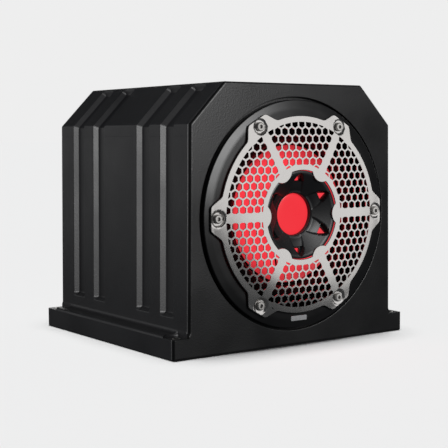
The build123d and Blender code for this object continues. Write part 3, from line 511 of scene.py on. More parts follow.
def lathe(
    name: str, profile: Sequence[Pair], segments: int = 192, start: float = 0.0, span: float = 360.0,
    middle: Pair = (0.0, DRIVER_Z),
) -> bpy.types.Object:
    """Turns a closed profile about an axis along the depth.

    Args:
        name: The object's name.
        profile: Radii and depths of the closed outline.
        segments: Steps round the axis.
        start: First angle in degrees.
        span: Angle covered in degrees; less than 360 gives a sector with end faces.
        middle: The axis in X and Z.

    Returns:
        The turned solid.
    """
    whole = span >= 360.0
    rings = segments if whole else segments + 1
    points = []
    for i in range(rings):
        angle = math.radians(start + span * i / segments)
        for radius, depth in profile:
            x = middle[0] + radius * math.cos(angle)
            points.append((x, FRONT_Y + depth, middle[1] + radius * math.sin(angle)))
    count = len(profile)
    faces: list[Sequence[int]] = []
    for i in range(segments):
        low, high = i * count, ((i + 1) % rings) * count
        for k in range(count):
            n = (k + 1) % count
            ring = [low + k, low + n, high + n, high + k]
            if profile[k][0] == 0 and profile[n][0] == 0:
                continue
            faces.append(ring)
    if not whole:
        faces.append(tuple(range(count)))
        faces.append(tuple(range(segments * count, (segments + 1) * count)))
    made = make_object(name, points, faces)
    clean(made)
    return made


def clean(piece: bpy.types.Object) -> None:
    """Merges coincident points, drops faces without area and turns the rest outwards.

    Args:
        piece: The mesh object that is cleaned.
    """
    shape = bmesh.new()
    shape.from_mesh(piece.data)
    bmesh.ops.remove_doubles(shape, verts=shape.verts, dist=2e-7)
    bmesh.ops.dissolve_degenerate(shape, edges=shape.edges, dist=1e-7)
    bmesh.ops.recalc_face_normals(shape, faces=shape.faces)
    shape.to_mesh(piece.data)
    shape.free()


def remove(*pieces: bpy.types.Object) -> None:
    """Deletes helper objects."""
    for piece in pieces:
        bpy.data.objects.remove(piece, do_unlink=True)


def baked(piece: bpy.types.Object) -> bpy.types.Object:
    """Turns an object with modifiers into a plain mesh object of the same name.

    Args:
        piece: The object to evaluate.

    Returns:
        A new object without modifiers.
    """
    graph = bpy.context.evaluated_depsgraph_get()
    mesh = bpy.data.meshes.new_from_object(piece.evaluated_get(graph), depsgraph=graph)
    name = piece.name
    remove(piece)
    mesh.name = name
    made = bpy.data.objects.new(name, mesh)
    bpy.context.scene.collection.objects.link(made)
    return made


def joined(name: str, pieces: Sequence[bpy.types.Object]) -> bpy.types.Object:
    """Puts several solids into one mesh object and removes the originals.

    Args:
        name: Name of the result.
        pieces: The solids.

    Returns:
        The one object.
    """
    shape = bmesh.new()
    for piece in pieces:
        shape.from_mesh(piece.data)
    mesh = bpy.data.meshes.new(name)
    shape.to_mesh(mesh)
    shape.free()
    remove(*pieces)
    made = bpy.data.objects.new(name, mesh)
    bpy.context.scene.collection.objects.link(made)
    return made


class Cut(Enum):
    """What a boolean step does with its tool."""

    TAKE = "DIFFERENCE"
    ADD = "UNION"
    KEEP = "INTERSECT"


def shaped(piece: bpy.types.Object, steps: Sequence[tuple[Cut, bpy.types.Object]]) -> bpy.types.Object:
    """Cuts a solid with tools, one after another, and removes the tools.

    Args:
        piece: The solid.
        steps: What to do, and with which tool.

    Returns:
        The finished solid.
    """
    for how, tool in steps:
        modifier = piece.modifiers.new(how.value, "BOOLEAN")
        modifier.operation = how.value
        modifier.solver = "MANIFOLD"
        modifier.object = tool
    made = baked(piece)
    remove(*[tool for _, tool in steps])
    return made


def smoothed(piece: bpy.types.Object, angle: float = 30.0) -> bpy.types.Object:
    """Shades a piece smooth, apart from edges sharper than an angle.

    Args:
        piece: The piece.
        angle: Sharpest edge, in degrees, that is still shaded smooth.

    Returns:
        The piece, with its normals weighted by face area.
    """
    shape = bmesh.new()
    shape.from_mesh(piece.data)
    for face in shape.faces:
        face.smooth = True
    for edge in shape.edges:
        edge.smooth = edge.calc_face_angle(0.0) < math.radians(angle)
    shape.to_mesh(piece.data)
    shape.free()
    weighted = piece.modifiers.new("Normals", "WEIGHTED_NORMAL")
    weighted.keep_sharp = True
    weighted.weight = 100
    return baked(piece)


def bevelled(
    piece: bpy.types.Object, width: float, segments: int = 2, angle: float = 40.0
) -> bpy.types.Object:
    """Rounds a piece's sharp edges.

    Args:
        piece: The piece.
        width: Width of the rounding in millimetres.
        segments: Steps across it.
        angle: Edges sharper than this, in degrees, are rounded.

    Returns:
        The rounded piece.
    """
    modifier = piece.modifiers.new("Edges", "BEVEL")
    modifier.width = width * MM
    modifier.segments = segments
    modifier.limit_method = "ANGLE"
    modifier.angle_limit = math.radians(angle)
    return baked(piece)


def painted(piece: bpy.types.Object, finish: Finish) -> bpy.types.Object:
    """Gives a piece one finish."""
    piece.data.materials.clear()
    piece.data.materials.append(finish.material())
    return piece


def hand_in(piece: bpy.types.Object, nodes: Sequence[str], body: str = FIXED) -> bpy.types.Object:
    """Lets a piece ride on its body and stand for its CAD nodes.

    Args:
        piece: The finished piece.
        nodes: CAD nodes that it stands for.
        body: CAD body that it moves with.

    Returns:
        The piece.
    """
    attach(piece, body)
    if nodes:
        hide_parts(*nodes)
    LOG.info("%s: %d faces", piece.name, len(piece.data.polygons))
    return piece


def cad_copy(name: str, node: str, bevel: float = 0.0) -> bpy.types.Object:
    """Copies a CAD node as one closed mesh with its flat faces whole and its edges rounded.

    Args:
        name: Name of the copy.
        node: The CAD node.
        bevel: Width of the edge rounding in millimetres.

    Returns:
        The copy.
    """
    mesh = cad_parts[node].data.copy()
    mesh.name = name
    mesh.materials.clear()
    shape = bmesh.new()
    shape.from_mesh(mesh)
    bmesh.ops.remove_doubles(shape, verts=shape.verts, dist=2e-6)
    bmesh.ops.dissolve_limit(
        shape, angle_limit=math.radians(0.6), verts=shape.verts, edges=shape.edges, delimit=set()
    )
    shape.to_mesh(mesh)
    shape.free()
    made = bpy.data.objects.new(name, mesh)
    bpy.context.scene.collection.objects.link(made)
    if bevel:
        made = bevelled(made, bevel)
    return smoothed(made)


# ---------------------------------------------------------------- geometry node trees
class Tree:
    """A geometry node tree that is being built."""

    def __init__(self, name: str) -> None:
        """Starts a tree with a geometry input and output.

        Args:
            name: The tree's name.
        """
        self.group = bpy.data.node_groups.new(name, "GeometryNodeTree")
        self.identifiers: dict[str, str] = {}
        self.ask("Geometry", "NodeSocketGeometry")
        self.group.interface.new_socket("Geometry", in_out="OUTPUT", socket_type="NodeSocketGeometry")
        self.inputs = self.group.nodes.new("NodeGroupInput")
        self.outputs = self.group.nodes.new("NodeGroupOutput")

    def ask(self, name: str, kind: str) -> None:
        """Adds a named input."""
        socket = self.group.interface.new_socket(name, in_out="INPUT", socket_type=kind)
        self.identifiers[name] = socket.identifier

    def node(self, kind: str, values: Optional[dict] = None, **settings) -> bpy.types.Node:
        """Adds a node.

        Args:
            kind: Its type.
            values: Sockets to link or values to set, by input name or index.
            settings: Its properties.

        Returns:
            The node.
        """
        made = self.group.nodes.new(kind)
        for key, value in settings.items():
            setattr(made, key, value)
        for key, value in (values or {}).items():
            if isinstance(value, bpy.types.NodeSocket):
                self.group.links.new(value, made.inputs[key])
            else:
                made.inputs[key].default_value = value
        return made

    def maths(self, operation: str, first: Number, second: Number = 0.0) -> bpy.types.NodeSocket:
        """Adds a sum of two numbers and gives its result."""
        return self.node("ShaderNodeMath", {0: first, 1: second}, operation=operation).outputs[0]

    def end(self, geometry: bpy.types.NodeSocket) -> None:
        """Realizes instances, sets the material and closes the tree.

        Args:
            geometry: Socket with the finished geometry.
        """
        realized = self.node("GeometryNodeRealizeInstances", {"Geometry": geometry})
        dressed = self.node(
            "GeometryNodeSetMaterial",
            {"Geometry": realized.outputs[0], "Material": self.inputs.outputs["Material"]},
        )
        self.group.links.new(dressed.outputs[0], self.outputs.inputs[0])

    def run(self, piece: bpy.types.Object, values: dict) -> bpy.types.Object:
        """Runs the tree on an object and gives the plain result.

        Args:
            piece: The object to run on.
            values: The tree's inputs by name.

        Returns:
            A plain mesh object of the same name.
        """
        modifier = piece.modifiers.new(self.group.name, "NODES")
        modifier.node_group = self.group
        for name, value in values.items():
            modifier[self.identifiers[name]] = value
        return baked(piece)


def fastener_tree() -> Tree:
    """A tree that sets one item on every point of a mesh, each turned about the depth by chance.

    Returns:
        The tree, with the inputs Item, Largest turn, Seed and Material.
    """
    tree = Tree("Set items on places")
    tree.ask("Item", "NodeSocketObject")
    tree.ask("Largest turn", "NodeSocketFloat")
    tree.ask("Seed", "NodeSocketInt")
    tree.ask("Material", "NodeSocketMaterial")
    given = tree.inputs.outputs
    item = tree.node("GeometryNodeObjectInfo", {"Object": given["Item"]})
    chance = tree.node(
        "FunctionNodeRandomValue", {2: 0.0, 3: given["Largest turn"], "Seed": given["Seed"]},
        data_type="FLOAT",
    )
    turn = tree.node("ShaderNodeCombineXYZ", {"Y": chance.outputs[1]})
    spread = tree.node(
        "GeometryNodeInstanceOnPoints",
        {"Points": given["Geometry"], "Instance": item.outputs["Geometry"], "Rotation": turn.outputs[0]},
    )
    tree.end(spread.outputs[0])
    return tree


def row_tree() -> Tree:
    """A tree that repeats its own geometry in an even row along X, centred.

    Returns:
        The tree, with the inputs Count, Pitch and Material.
    """
    tree = Tree("Repeat in a row")
    tree.ask("Count", "NodeSocketInt")
    tree.ask("Pitch", "NodeSocketFloat")
    tree.ask("Material", "NodeSocketMaterial")
    given = tree.inputs.outputs
    reach = tree.maths("MULTIPLY", tree.maths("SUBTRACT", given["Count"], 1.0), given["Pitch"])
    start = tree.node("ShaderNodeCombineXYZ", {"X": tree.maths("MULTIPLY", reach, -0.5)})
    step = tree.node("ShaderNodeCombineXYZ", {"X": given["Pitch"]})
    row = tree.node(
        "GeometryNodeMeshLine",
        {"Count": given["Count"], "Start Location": start.outputs[0], "Offset": step.outputs[0]},
    )
    spread = tree.node(
        "GeometryNodeInstanceOnPoints", {"Points": row.outputs[0], "Instance": given["Geometry"]}
    )
    tree.end(spread.outputs[0])
    return tree


def perforation_tree() -> Tree:
    """A tree that perforates a sheet with hexagons in staggered rows, inside a region.

    The punches sink from the crest radius outwards, so that they follow the sheet's dome.

    Returns:
        The tree, with the inputs Punch, Region, Pitch, Reach, Crest, Fall, Height of centre, Rows
        and Material.
    """
    tree = Tree("Perforate a sheet")
    for name in ("Punch", "Region"):
        tree.ask(name, "NodeSocketObject")
    for name in ("Pitch", "Reach", "Crest", "Fall", "Height of centre"):
        tree.ask(name, "NodeSocketFloat")
    tree.ask("Rows", "NodeSocketInt")
    tree.ask("Material", "NodeSocketMaterial")
    given = tree.inputs.outputs
    row_height = tree.maths("MULTIPLY", given["Pitch"], math.sqrt(3) / 2)
    gaps = tree.maths("SUBTRACT", given["Rows"], 1.0)
    lattice = tree.node(
        "GeometryNodeMeshGrid",
        {
            "Size X": tree.maths("MULTIPLY", gaps, given["Pitch"]),
            "Size Y": tree.maths("MULTIPLY", gaps, row_height),
            "Vertices X": given["Rows"],
            "Vertices Y": given["Rows"],
        },
    )
    place = tree.node("ShaderNodeSeparateXYZ", {0: tree.node("GeometryNodeInputPosition").outputs[0]})
    row = tree.maths("ROUND", tree.maths("DIVIDE", place.outputs["Y"], row_height))
    odd = tree.maths("ABSOLUTE", tree.maths("MODULO", row, 2.0))
    stagger = tree.maths("MULTIPLY", tree.maths("MULTIPLY", odd, 0.5), given["Pitch"])
    across = tree.maths("ADD", place.outputs["X"], stagger)
    flat = tree.node("ShaderNodeCombineXYZ", {"X": across, "Z": place.outputs["Y"]})
    away = tree.node("ShaderNodeVectorMath", {0: flat.outputs[0]}, operation="LENGTH")
    beyond = tree.maths("SUBTRACT", away.outputs["Value"], given["Crest"])
    share = tree.maths("DIVIDE", beyond, tree.maths("SUBTRACT", given["Reach"], given["Crest"]))
    ahead = tree.maths("MAXIMUM", share, 0.0)
    sunk = tree.maths("MULTIPLY", tree.maths("POWER", ahead, 1.5), given["Fall"])
    placed = tree.node(
        "ShaderNodeCombineXYZ",
        {"X": across, "Y": sunk, "Z": tree.maths("ADD", place.outputs["Y"], given["Height of centre"])},
    )
    moved = tree.node(
        "GeometryNodeSetPosition", {"Geometry": lattice.outputs["Mesh"], "Position": placed.outputs[0]}
    )
    far = tree.node(
        "FunctionNodeCompare", {0: away.outputs["Value"], 1: given["Reach"]}, data_type="FLOAT",
        operation="GREATER_THAN",
    )
    punch = tree.node("GeometryNodeObjectInfo", {"Object": given["Punch"]})
    near = tree.node("FunctionNodeBooleanMath", {0: far.outputs[0]}, operation="NOT")
    kept = tree.node(
        "GeometryNodeMeshToPoints", {"Mesh": moved.outputs[0], "Selection": near.outputs[0]}
    )
    punches = tree.node(
        "GeometryNodeInstanceOnPoints", {"Points": kept.outputs[0], "Instance": punch.outputs["Geometry"]}
    )
    solid = tree.node("GeometryNodeRealizeInstances", {"Geometry": punches.outputs[0]})
    region = tree.node("GeometryNodeObjectInfo", {"Object": given["Region"]})
    clipped = tree.node("GeometryNodeMeshBoolean", {}, operation="INTERSECT", solver="MANIFOLD")
    tree.group.links.new(region.outputs["Geometry"], clipped.inputs["Mesh 2"])
    tree.group.links.new(solid.outputs[0], clipped.inputs["Mesh 2"])
    cut = tree.node(
        "GeometryNodeMeshBoolean",
        {"Mesh 1": given["Geometry"], "Mesh 2": clipped.outputs["Mesh"]},
        operation="DIFFERENCE",
        solver="MANIFOLD",
    )
    tree.end(cut.outputs["Mesh"])
    return tree


def set_on_places(
    name: str, item: bpy.types.Object, places: Sequence[Point], finish: Finish, turn: float = 0.0,
    seed: int = 1,
) -> bpy.types.Object:
    """Sets one item on several places with geometry nodes.

    Args:
        name: Name of the result.
        item: The item, modelled about the origin.
        places: Its places in millimetres.
        finish: Its finish.
        turn: Largest chance turn in radians.
        seed: Seed of the turns.

    Returns:
        One plain mesh object; the item is removed.
    """
    points = make_object(name, places, [])
    made = fastener_tree().run(
        points, {"Item": item, "Largest turn": turn, "Seed": seed, "Material": finish.material()}
    )
    remove(item)
    return made


# ---------------------------------------------------------------- enclosure
def bolt_places() -> list[Pair]:
    """Places of the four flange bolts in X and Y."""
    return [(x, y) for x in (-BOLT_X, BOLT_X) for y in (-BOLT_Y, BOLT_Y)]


def seat_cutters() -> list[bpy.types.Object]:
    """Tools for the flange's four stepped screw seats and their holes.

    Returns:
        The joined seats and the joined holes.
    """
    wall_x = 152.7
    hole_radius = 5.1
    seat_floor = [(23.3, 15.3), (23.5, 15.8), (24.0, 16.0)]
    seat_rim = [(25.7, 16.0), (26.1, 16.3), (26.4, 16.9), (40.0, 16.9)]
    seats, holes = [], []
    for x, y in bolt_places():
        side = math.copysign(1.0, x)
        loops = []
        for z, radius in seat_floor + seat_rim:
            ring = circle(radius, 64, (x, y))
            loops.append([(side * max(side * px, wall_x), py, z) for px, py in ring])
        seats.append(loft("seat", loops))
        ring = circle(hole_radius, 40, (x, y))
        holes.append(loft("hole", [[(px, py, z) for px, py in ring] for z in (-1.0, 22.8, 30.0)]))
    for seat in seats:
        clean(seat)
    return [joined("seats", seats), joined("holes", holes)]


@dataclass
class Outline:
    """The cross-section shared by the enclosure and its front panel."""

    flange_half: float = 173.7
    flange_top: float = 26.3
    low_half: float = 152.6
    high_half: float = 150.1
    bend: float = 261.9
    roof_half: float = 102.7
    roof: float = 310.0
    edge_round: float = 4.0
    foot_round: float = 1.4
    channel_bottom: float = 41.5
    channel_end: float = 1.7
    channel_ramp: float = 6.0
    line_height: float = 248.0
    line_half: float = 0.7
    line_sunk: float = 0.18
    ramp_steps: int = 8

    def side_x(self, z: float) -> float:
        """Half width of the drafted wall at a height."""
        share = (z - self.flange_top) / (self.bend - self.flange_top)
        return self.low_half + (self.high_half - self.low_half) * share

    def chamfer(self) -> tuple[Vector, Vector, float]:
        """Finds how the top chamfer lies.

        Returns:
            The direction up the chamfer, its inward normal and its length.
        """
        along = Vector((self.roof_half - self.high_half, self.roof - self.bend))
        length = along.length
        along.normalize()
        return along, Vector((-along.y, along.x)), length

    def half(self, sunk: float) -> list[Point]:
        """Corners of the right half from the foot to the roof, with walls moved inwards.

        Args:
            sunk: How far the wall and chamfer lie inside the outer skin.

        Returns:
            Corners as X, Z and radius.
        """
        along, inward, length = self.chamfer()
        corners: list[Point] = [
            (self.flange_half, 0.0, self.foot_round),
            (self.flange_half, self.flange_top, self.edge_round),
            (self.low_half, self.flange_top, self.edge_round + 0.5),
        ]
        for k in range(self.ramp_steps + 1):
            z = self.channel_bottom + self.channel_ramp * k / self.ramp_steps
            corners.append((self.side_x(z) - sunk, z, 0.0))
        for away in (-1, 0, 1):
            z = self.line_height + self.line_half * away
            line = 0.0 if away or sunk else self.line_sunk
            corners.append((self.side_x(z) - sunk - line, z, 0.0))
        bend_z = self.bend + (inward.y + along.y * (1 + inward.x) / -along.x) * sunk
        corners.append((self.side_x(bend_z) - sunk, bend_z, self.edge_round))
        for k in range(self.ramp_steps + 1):
            reach = length - self.channel_end - self.channel_ramp * (1 - k / self.ramp_steps)
            spot = Vector((self.high_half, self.bend)) + along * reach + inward * sunk
            corners.append((spot.x, spot.y, 0.0))
        corners.append((self.roof_half, self.roof, self.edge_round))
        return corners

    def loop(self, sunk: float = 0.0, inset: float = 0.0) -> list[Pair]:
        """The whole cross-section, anticlockwise from the right foot.

        Args:
            sunk: How far the walls and chamfers lie inside the outer skin.
            inset: How far the whole outline is drawn in.

        Returns:
            Its points; their number doesn't depend on the sizes.
        """
        half = self.half(sunk)
        whole = [*half, *[(-x, z, r) for x, z, r in reversed(half)]]
        moved = shifted([(x, z) for x, z, _ in whole], inset)
        corners = []
        for i, (x, z) in enumerate(moved):
            radius = whole[i][2]
            if radius:
                before, after = moved[i - 1], moved[(i + 1) % len(moved)]
                turn = (x - before[0]) * (after[1] - z) - (z - before[1]) * (after[0] - x)
                radius = max(0.2, radius - inset) if turn > 0 else radius + inset
            corners.append((x, z, radius))
        return rounded(corners)

    def depth_share(self, x: float, z: float) -> float:
        """Finds how much of a channel's depth is reached at a point of the skin.

        Args:
            x: The point's place across.
            z: Its height.

        Returns:
            A share from 0 to 1, which eases in at the channel's two ends.
        """
        if z < self.channel_bottom:
            return 0.0
        low = smoothstep((z - self.channel_bottom) / self.channel_ramp)
        to_roof = math.hypot(abs(x) - self.roof_half, z - self.roof)
        if abs(x) < self.roof_half:
            return 0.0
        return low * smoothstep((to_roof - self.channel_end) / self.channel_ramp)

    def inner(self, inset: float, floor: float) -> list[Pair]:
        """The cross-section without the flange.

        Args:
            inset: How far it is drawn in.
            floor: Height at which it starts.

        Returns:
            Its points, anticlockwise.
        """
        along, inward, _ = self.chamfer()
        on = (self.high_half + inward.x * inset, self.bend + inward.y * inset)
        high_x = self.high_half - inset
        high_z = on[1] + (high_x - on[0]) / along.x * along.y
        top_z = self.roof - inset
        top_x = on[0] + (top_z - on[1]) / along.y * along.x
        half = [(self.side_x(floor) - inset, floor, 3.0), (high_x, high_z, 3.0), (top_x, top_z, 3.0)]
        return rounded([*half, *[(-x, z, r) for x, z, r in reversed(half)]])


@dataclass
class Enclosure:
    """The moulded shell with its side channels, flange, screw seats and rear recess."""

    outline: Outline = field(default_factory=Outline)
    front: float = 5.3
    back: float = 305.0
    front_round: float = 1.2
    back_round: float = 2.5
    channel_middles: tuple[float, ...] = (-104.5, -52.4, 52.4, 104.5)
    channel_half: float = 14.3
    floor_half: float = 9.7
    channel_depth: float = 6.0
    wall: float = 9.0
    pocket_x: float = 160.5
    pocket_pitch: float = 42.0
    pocket_half: Pair = (7.5, 18.5)
    sleeve_bore: float = 3.5
    sleeve_radius: float = 5.0
    sleeve_steps: int = 40

    def stations(self) -> list[Point]:
        """Stations along the skin from front to back.

        Returns:
            For each its Y, the share of the channel's depth and the inset of the rounded ends.
        """
        made = [(FRONT_Y + self.front + s, 0.0, inset) for s, inset in arc_steps(self.front_round, 4)]
        section = [
            (-self.channel_half - 6, 0.0, 0.0),
            (-self.channel_half, 0.0, 1.6),
            (-self.floor_half, self.channel_depth, 2.0),
            (self.floor_half, self.channel_depth, 2.0),
            (self.channel_half, 0.0, 1.6),
            (self.channel_half + 6, 0.0, 0.0),
        ]
        for middle in self.channel_middles:
            made += [(middle + y, depth / self.channel_depth, 0.0) for y, depth in rounded(section, 5)]
        ends = [(FRONT_Y + self.back - s, 0.0, inset) for s, inset in arc_steps(self.back_round, 5)]
        return [*made, *reversed(ends)]

    def skin(self) -> bpy.types.Object:
        """The outer solid with its channels.

        Returns:
            The solid, still without any hollow.
        """
        outer = self.outline.loop()
        inner = self.outline.loop(self.channel_depth)
        shares = [self.outline.depth_share(x, z) for x, z in outer]
        loops = []
        for y, share, inset in self.stations():
            ring = self.outline.loop(inset=inset) if inset else outer
            loop = []
            for (x, z), (ix, iz), reach in zip(ring, inner, shares):
                part = share * reach
                loop.append((x + (ix - x) * part, y, z + (iz - z) * part))
            loops.append(loop)
        return loft("Enclosure", loops)

    def box(self, low: Point, high: Point, radius: float = 2.0) -> bpy.types.Object:
        """A box between two corners, in millimetres.

        Args:
            low: Its lowest corner.
            high: Its highest corner.
            radius: Radius of its upright edges.

        Returns:
            The box.
        """
        width, length = high[0] - low[0], high[1] - low[1]
        middle = ((low[0] + high[0]) / 2, (low[1] + high[1]) / 2)
        ring = rectangle(width, length, radius, middle)
        return loft("box", [[(x, y, z) for x, y in ring] for z in (low[2], high[2])])

    def tools(self) -> list[tuple[Cut, bpy.types.Object]]:
        """Everything that is taken out of the skin.

        Returns:
            The boolean steps with their tools.
        """
        inner = self.outline.inner
        half_x, half_y = self.pocket_half
        pockets = []
        for x in (-self.pocket_x, self.pocket_x):
            for k in range(6):
                y = self.pocket_pitch * (k - 2.5)
                pockets.append(self.box((x - half_x, y - half_y, -1.0), (x + half_x, y + half_y, 20.0)))
        rear = [(291.0, 0.0), (304.2, 0.0), (305.0, -0.8), (306.0, -0.8)]
        taken = [
            prism("plug room", inner(self.wall, 14.0), [(4.0, 0.0), (16.8, 0.0)]),
            prism("frame", inner(22.0, 27.0), [(15.8, 0.0), (22.8, 0.0)]),
            prism("cavity", inner(self.wall, 14.0), [(21.8, 0.0), (282.0, 0.0)]),
            prism("recess", inner(self.wall, 20.0), rear),
            prism("amplifier opening", rectangle(220, 190, 4.0, (0, 150)), [(281.0, 0.0), (293.0, 0.0)]),
            self.box((-143, FRONT_Y + 20, -1), (143, FRONT_Y + 284, 8)),
            self.box((-128, FRONT_Y + 35, -1), (128, FRONT_Y + 269, 15)),
            joined("pockets", pockets),
            *seat_cutters(),
        ]
        return [(Cut.TAKE, tool) for tool in taken]

    def sleeve(self) -> bpy.types.Object:
        """One steel sleeve of the flange, upright, with its foot at the origin.

        Returns:
            The sleeve.
        """
        bore, radius = self.sleeve_bore, self.sleeve_radius
        profile = [(bore, 0.0), (radius, 0.0), (radius, 23.3), (radius - 0.3, 23.7), (bore + 0.3, 23.7)]
        profile.append((bore, 23.4))
        loops = [[(x, y, z) for x, y in circle(r, self.sleeve_steps)] for r, z in profile]
        return smoothed(closed_loft("sleeve", loops))

    def build(self) -> None:
        """Builds the shell and its sleeves."""
        shell = smoothed(shaped(self.skin(), self.tools()), 26.0)
        hand_in(painted(shell, SHELL_PLASTIC), ["enclosure_shell"])
        places = [(x, y, 0.0) for x, y in bolt_places()]
        sleeves = set_on_places("Mounting-sleeves", self.sleeve(), places, SLEEVE_STEEL)
        hand_in(sleeves, ["mounting_sleeves"])


@dataclass
class FrontPanel:
    """The flat front panel with its lip, the round recess for the driver and the seam behind it."""

    outline: Outline = field(default_factory=Outline)
    lip: float = 4.3
    front_round: float = 3.0
    plug: float = 16.3
    recess_radius: float = 138.0
    recess: float = 6.0
    hole_radius: float = 125.0

    def build(self) -> None:
        """Builds the panel."""
        loops = []
        for s, inset in arc_steps(self.front_round, 7):
            loops.append([(x, FRONT_Y + s, z) for x, z in self.outline.loop(inset=inset)])
        for s, inset in reversed(arc_steps(0.6, 3)):
            loops.append([(x, FRONT_Y + self.lip - s, z) for x, z in self.outline.loop(inset=inset)])
        panel = loft("Front-panel", loops)
        recess = [(0, -2), (139.0, -2), (139.0, 0.0), (138.3, 0.3), (self.recess_radius, 1.0)]
        recess += [(self.recess_radius, self.recess), (0, self.recess)]
        hole = [(0, 4), (self.hole_radius, 4), (self.hole_radius, 18), (0, 18)]
        plug = prism("plug", self.outline.inner(9.3, 14.3), [(3.6, 0.0), (self.plug, 0.0)])
        steps = [(Cut.ADD, plug), (Cut.TAKE, lathe("recess", recess, 256))]
        steps.append((Cut.TAKE, lathe("hole", hole, 192)))
        steps += [(Cut.TAKE, tool) for tool in seat_cutters()]
        panel = smoothed(shaped(panel, steps), 26.0)
        hand_in(painted(panel, BAFFLE_PLASTIC), ["front_baffle"])


# ---------------------------------------------------------------- trim ring and badge
@dataclass
class TrimRing:
    """The satin ring round the driver and the blank badge on it."""

    inner: float = 112.5
    outer: float = 135.0

    def build(self) -> None:
        """Builds the ring and its badge."""
        corners = [
            (self.inner, 0.0, 0.0),
            (self.inner, -5.2, 1.0),
            (125.0, -4.7, 30.0),
            (self.outer, -2.7, 1.6),
            (self.outer, 4.6, 0.2),
            (134.3, 4.6, 0.2),
            (134.3, 0.0, 0.0),
        ]
        ring = smoothed(lathe("Trim-ring", rounded(corners, 5), 288), 30.0)
        hand_in(painted(ring, RING_PLASTIC), ["trim_ring"])
        plate = [(-5.6, 0.5), (-5.5, 0.15), (-5.3, 0.0), (-4.95, 0.0)]
        badge = smoothed(prism("Ring-badge", rectangle(24.0, 6.0, 1.2), plate, (0.0, DRIVER_Z - 123.0)))
        hand_in(painted(badge, BADGE_METAL), ["ring_badge"])


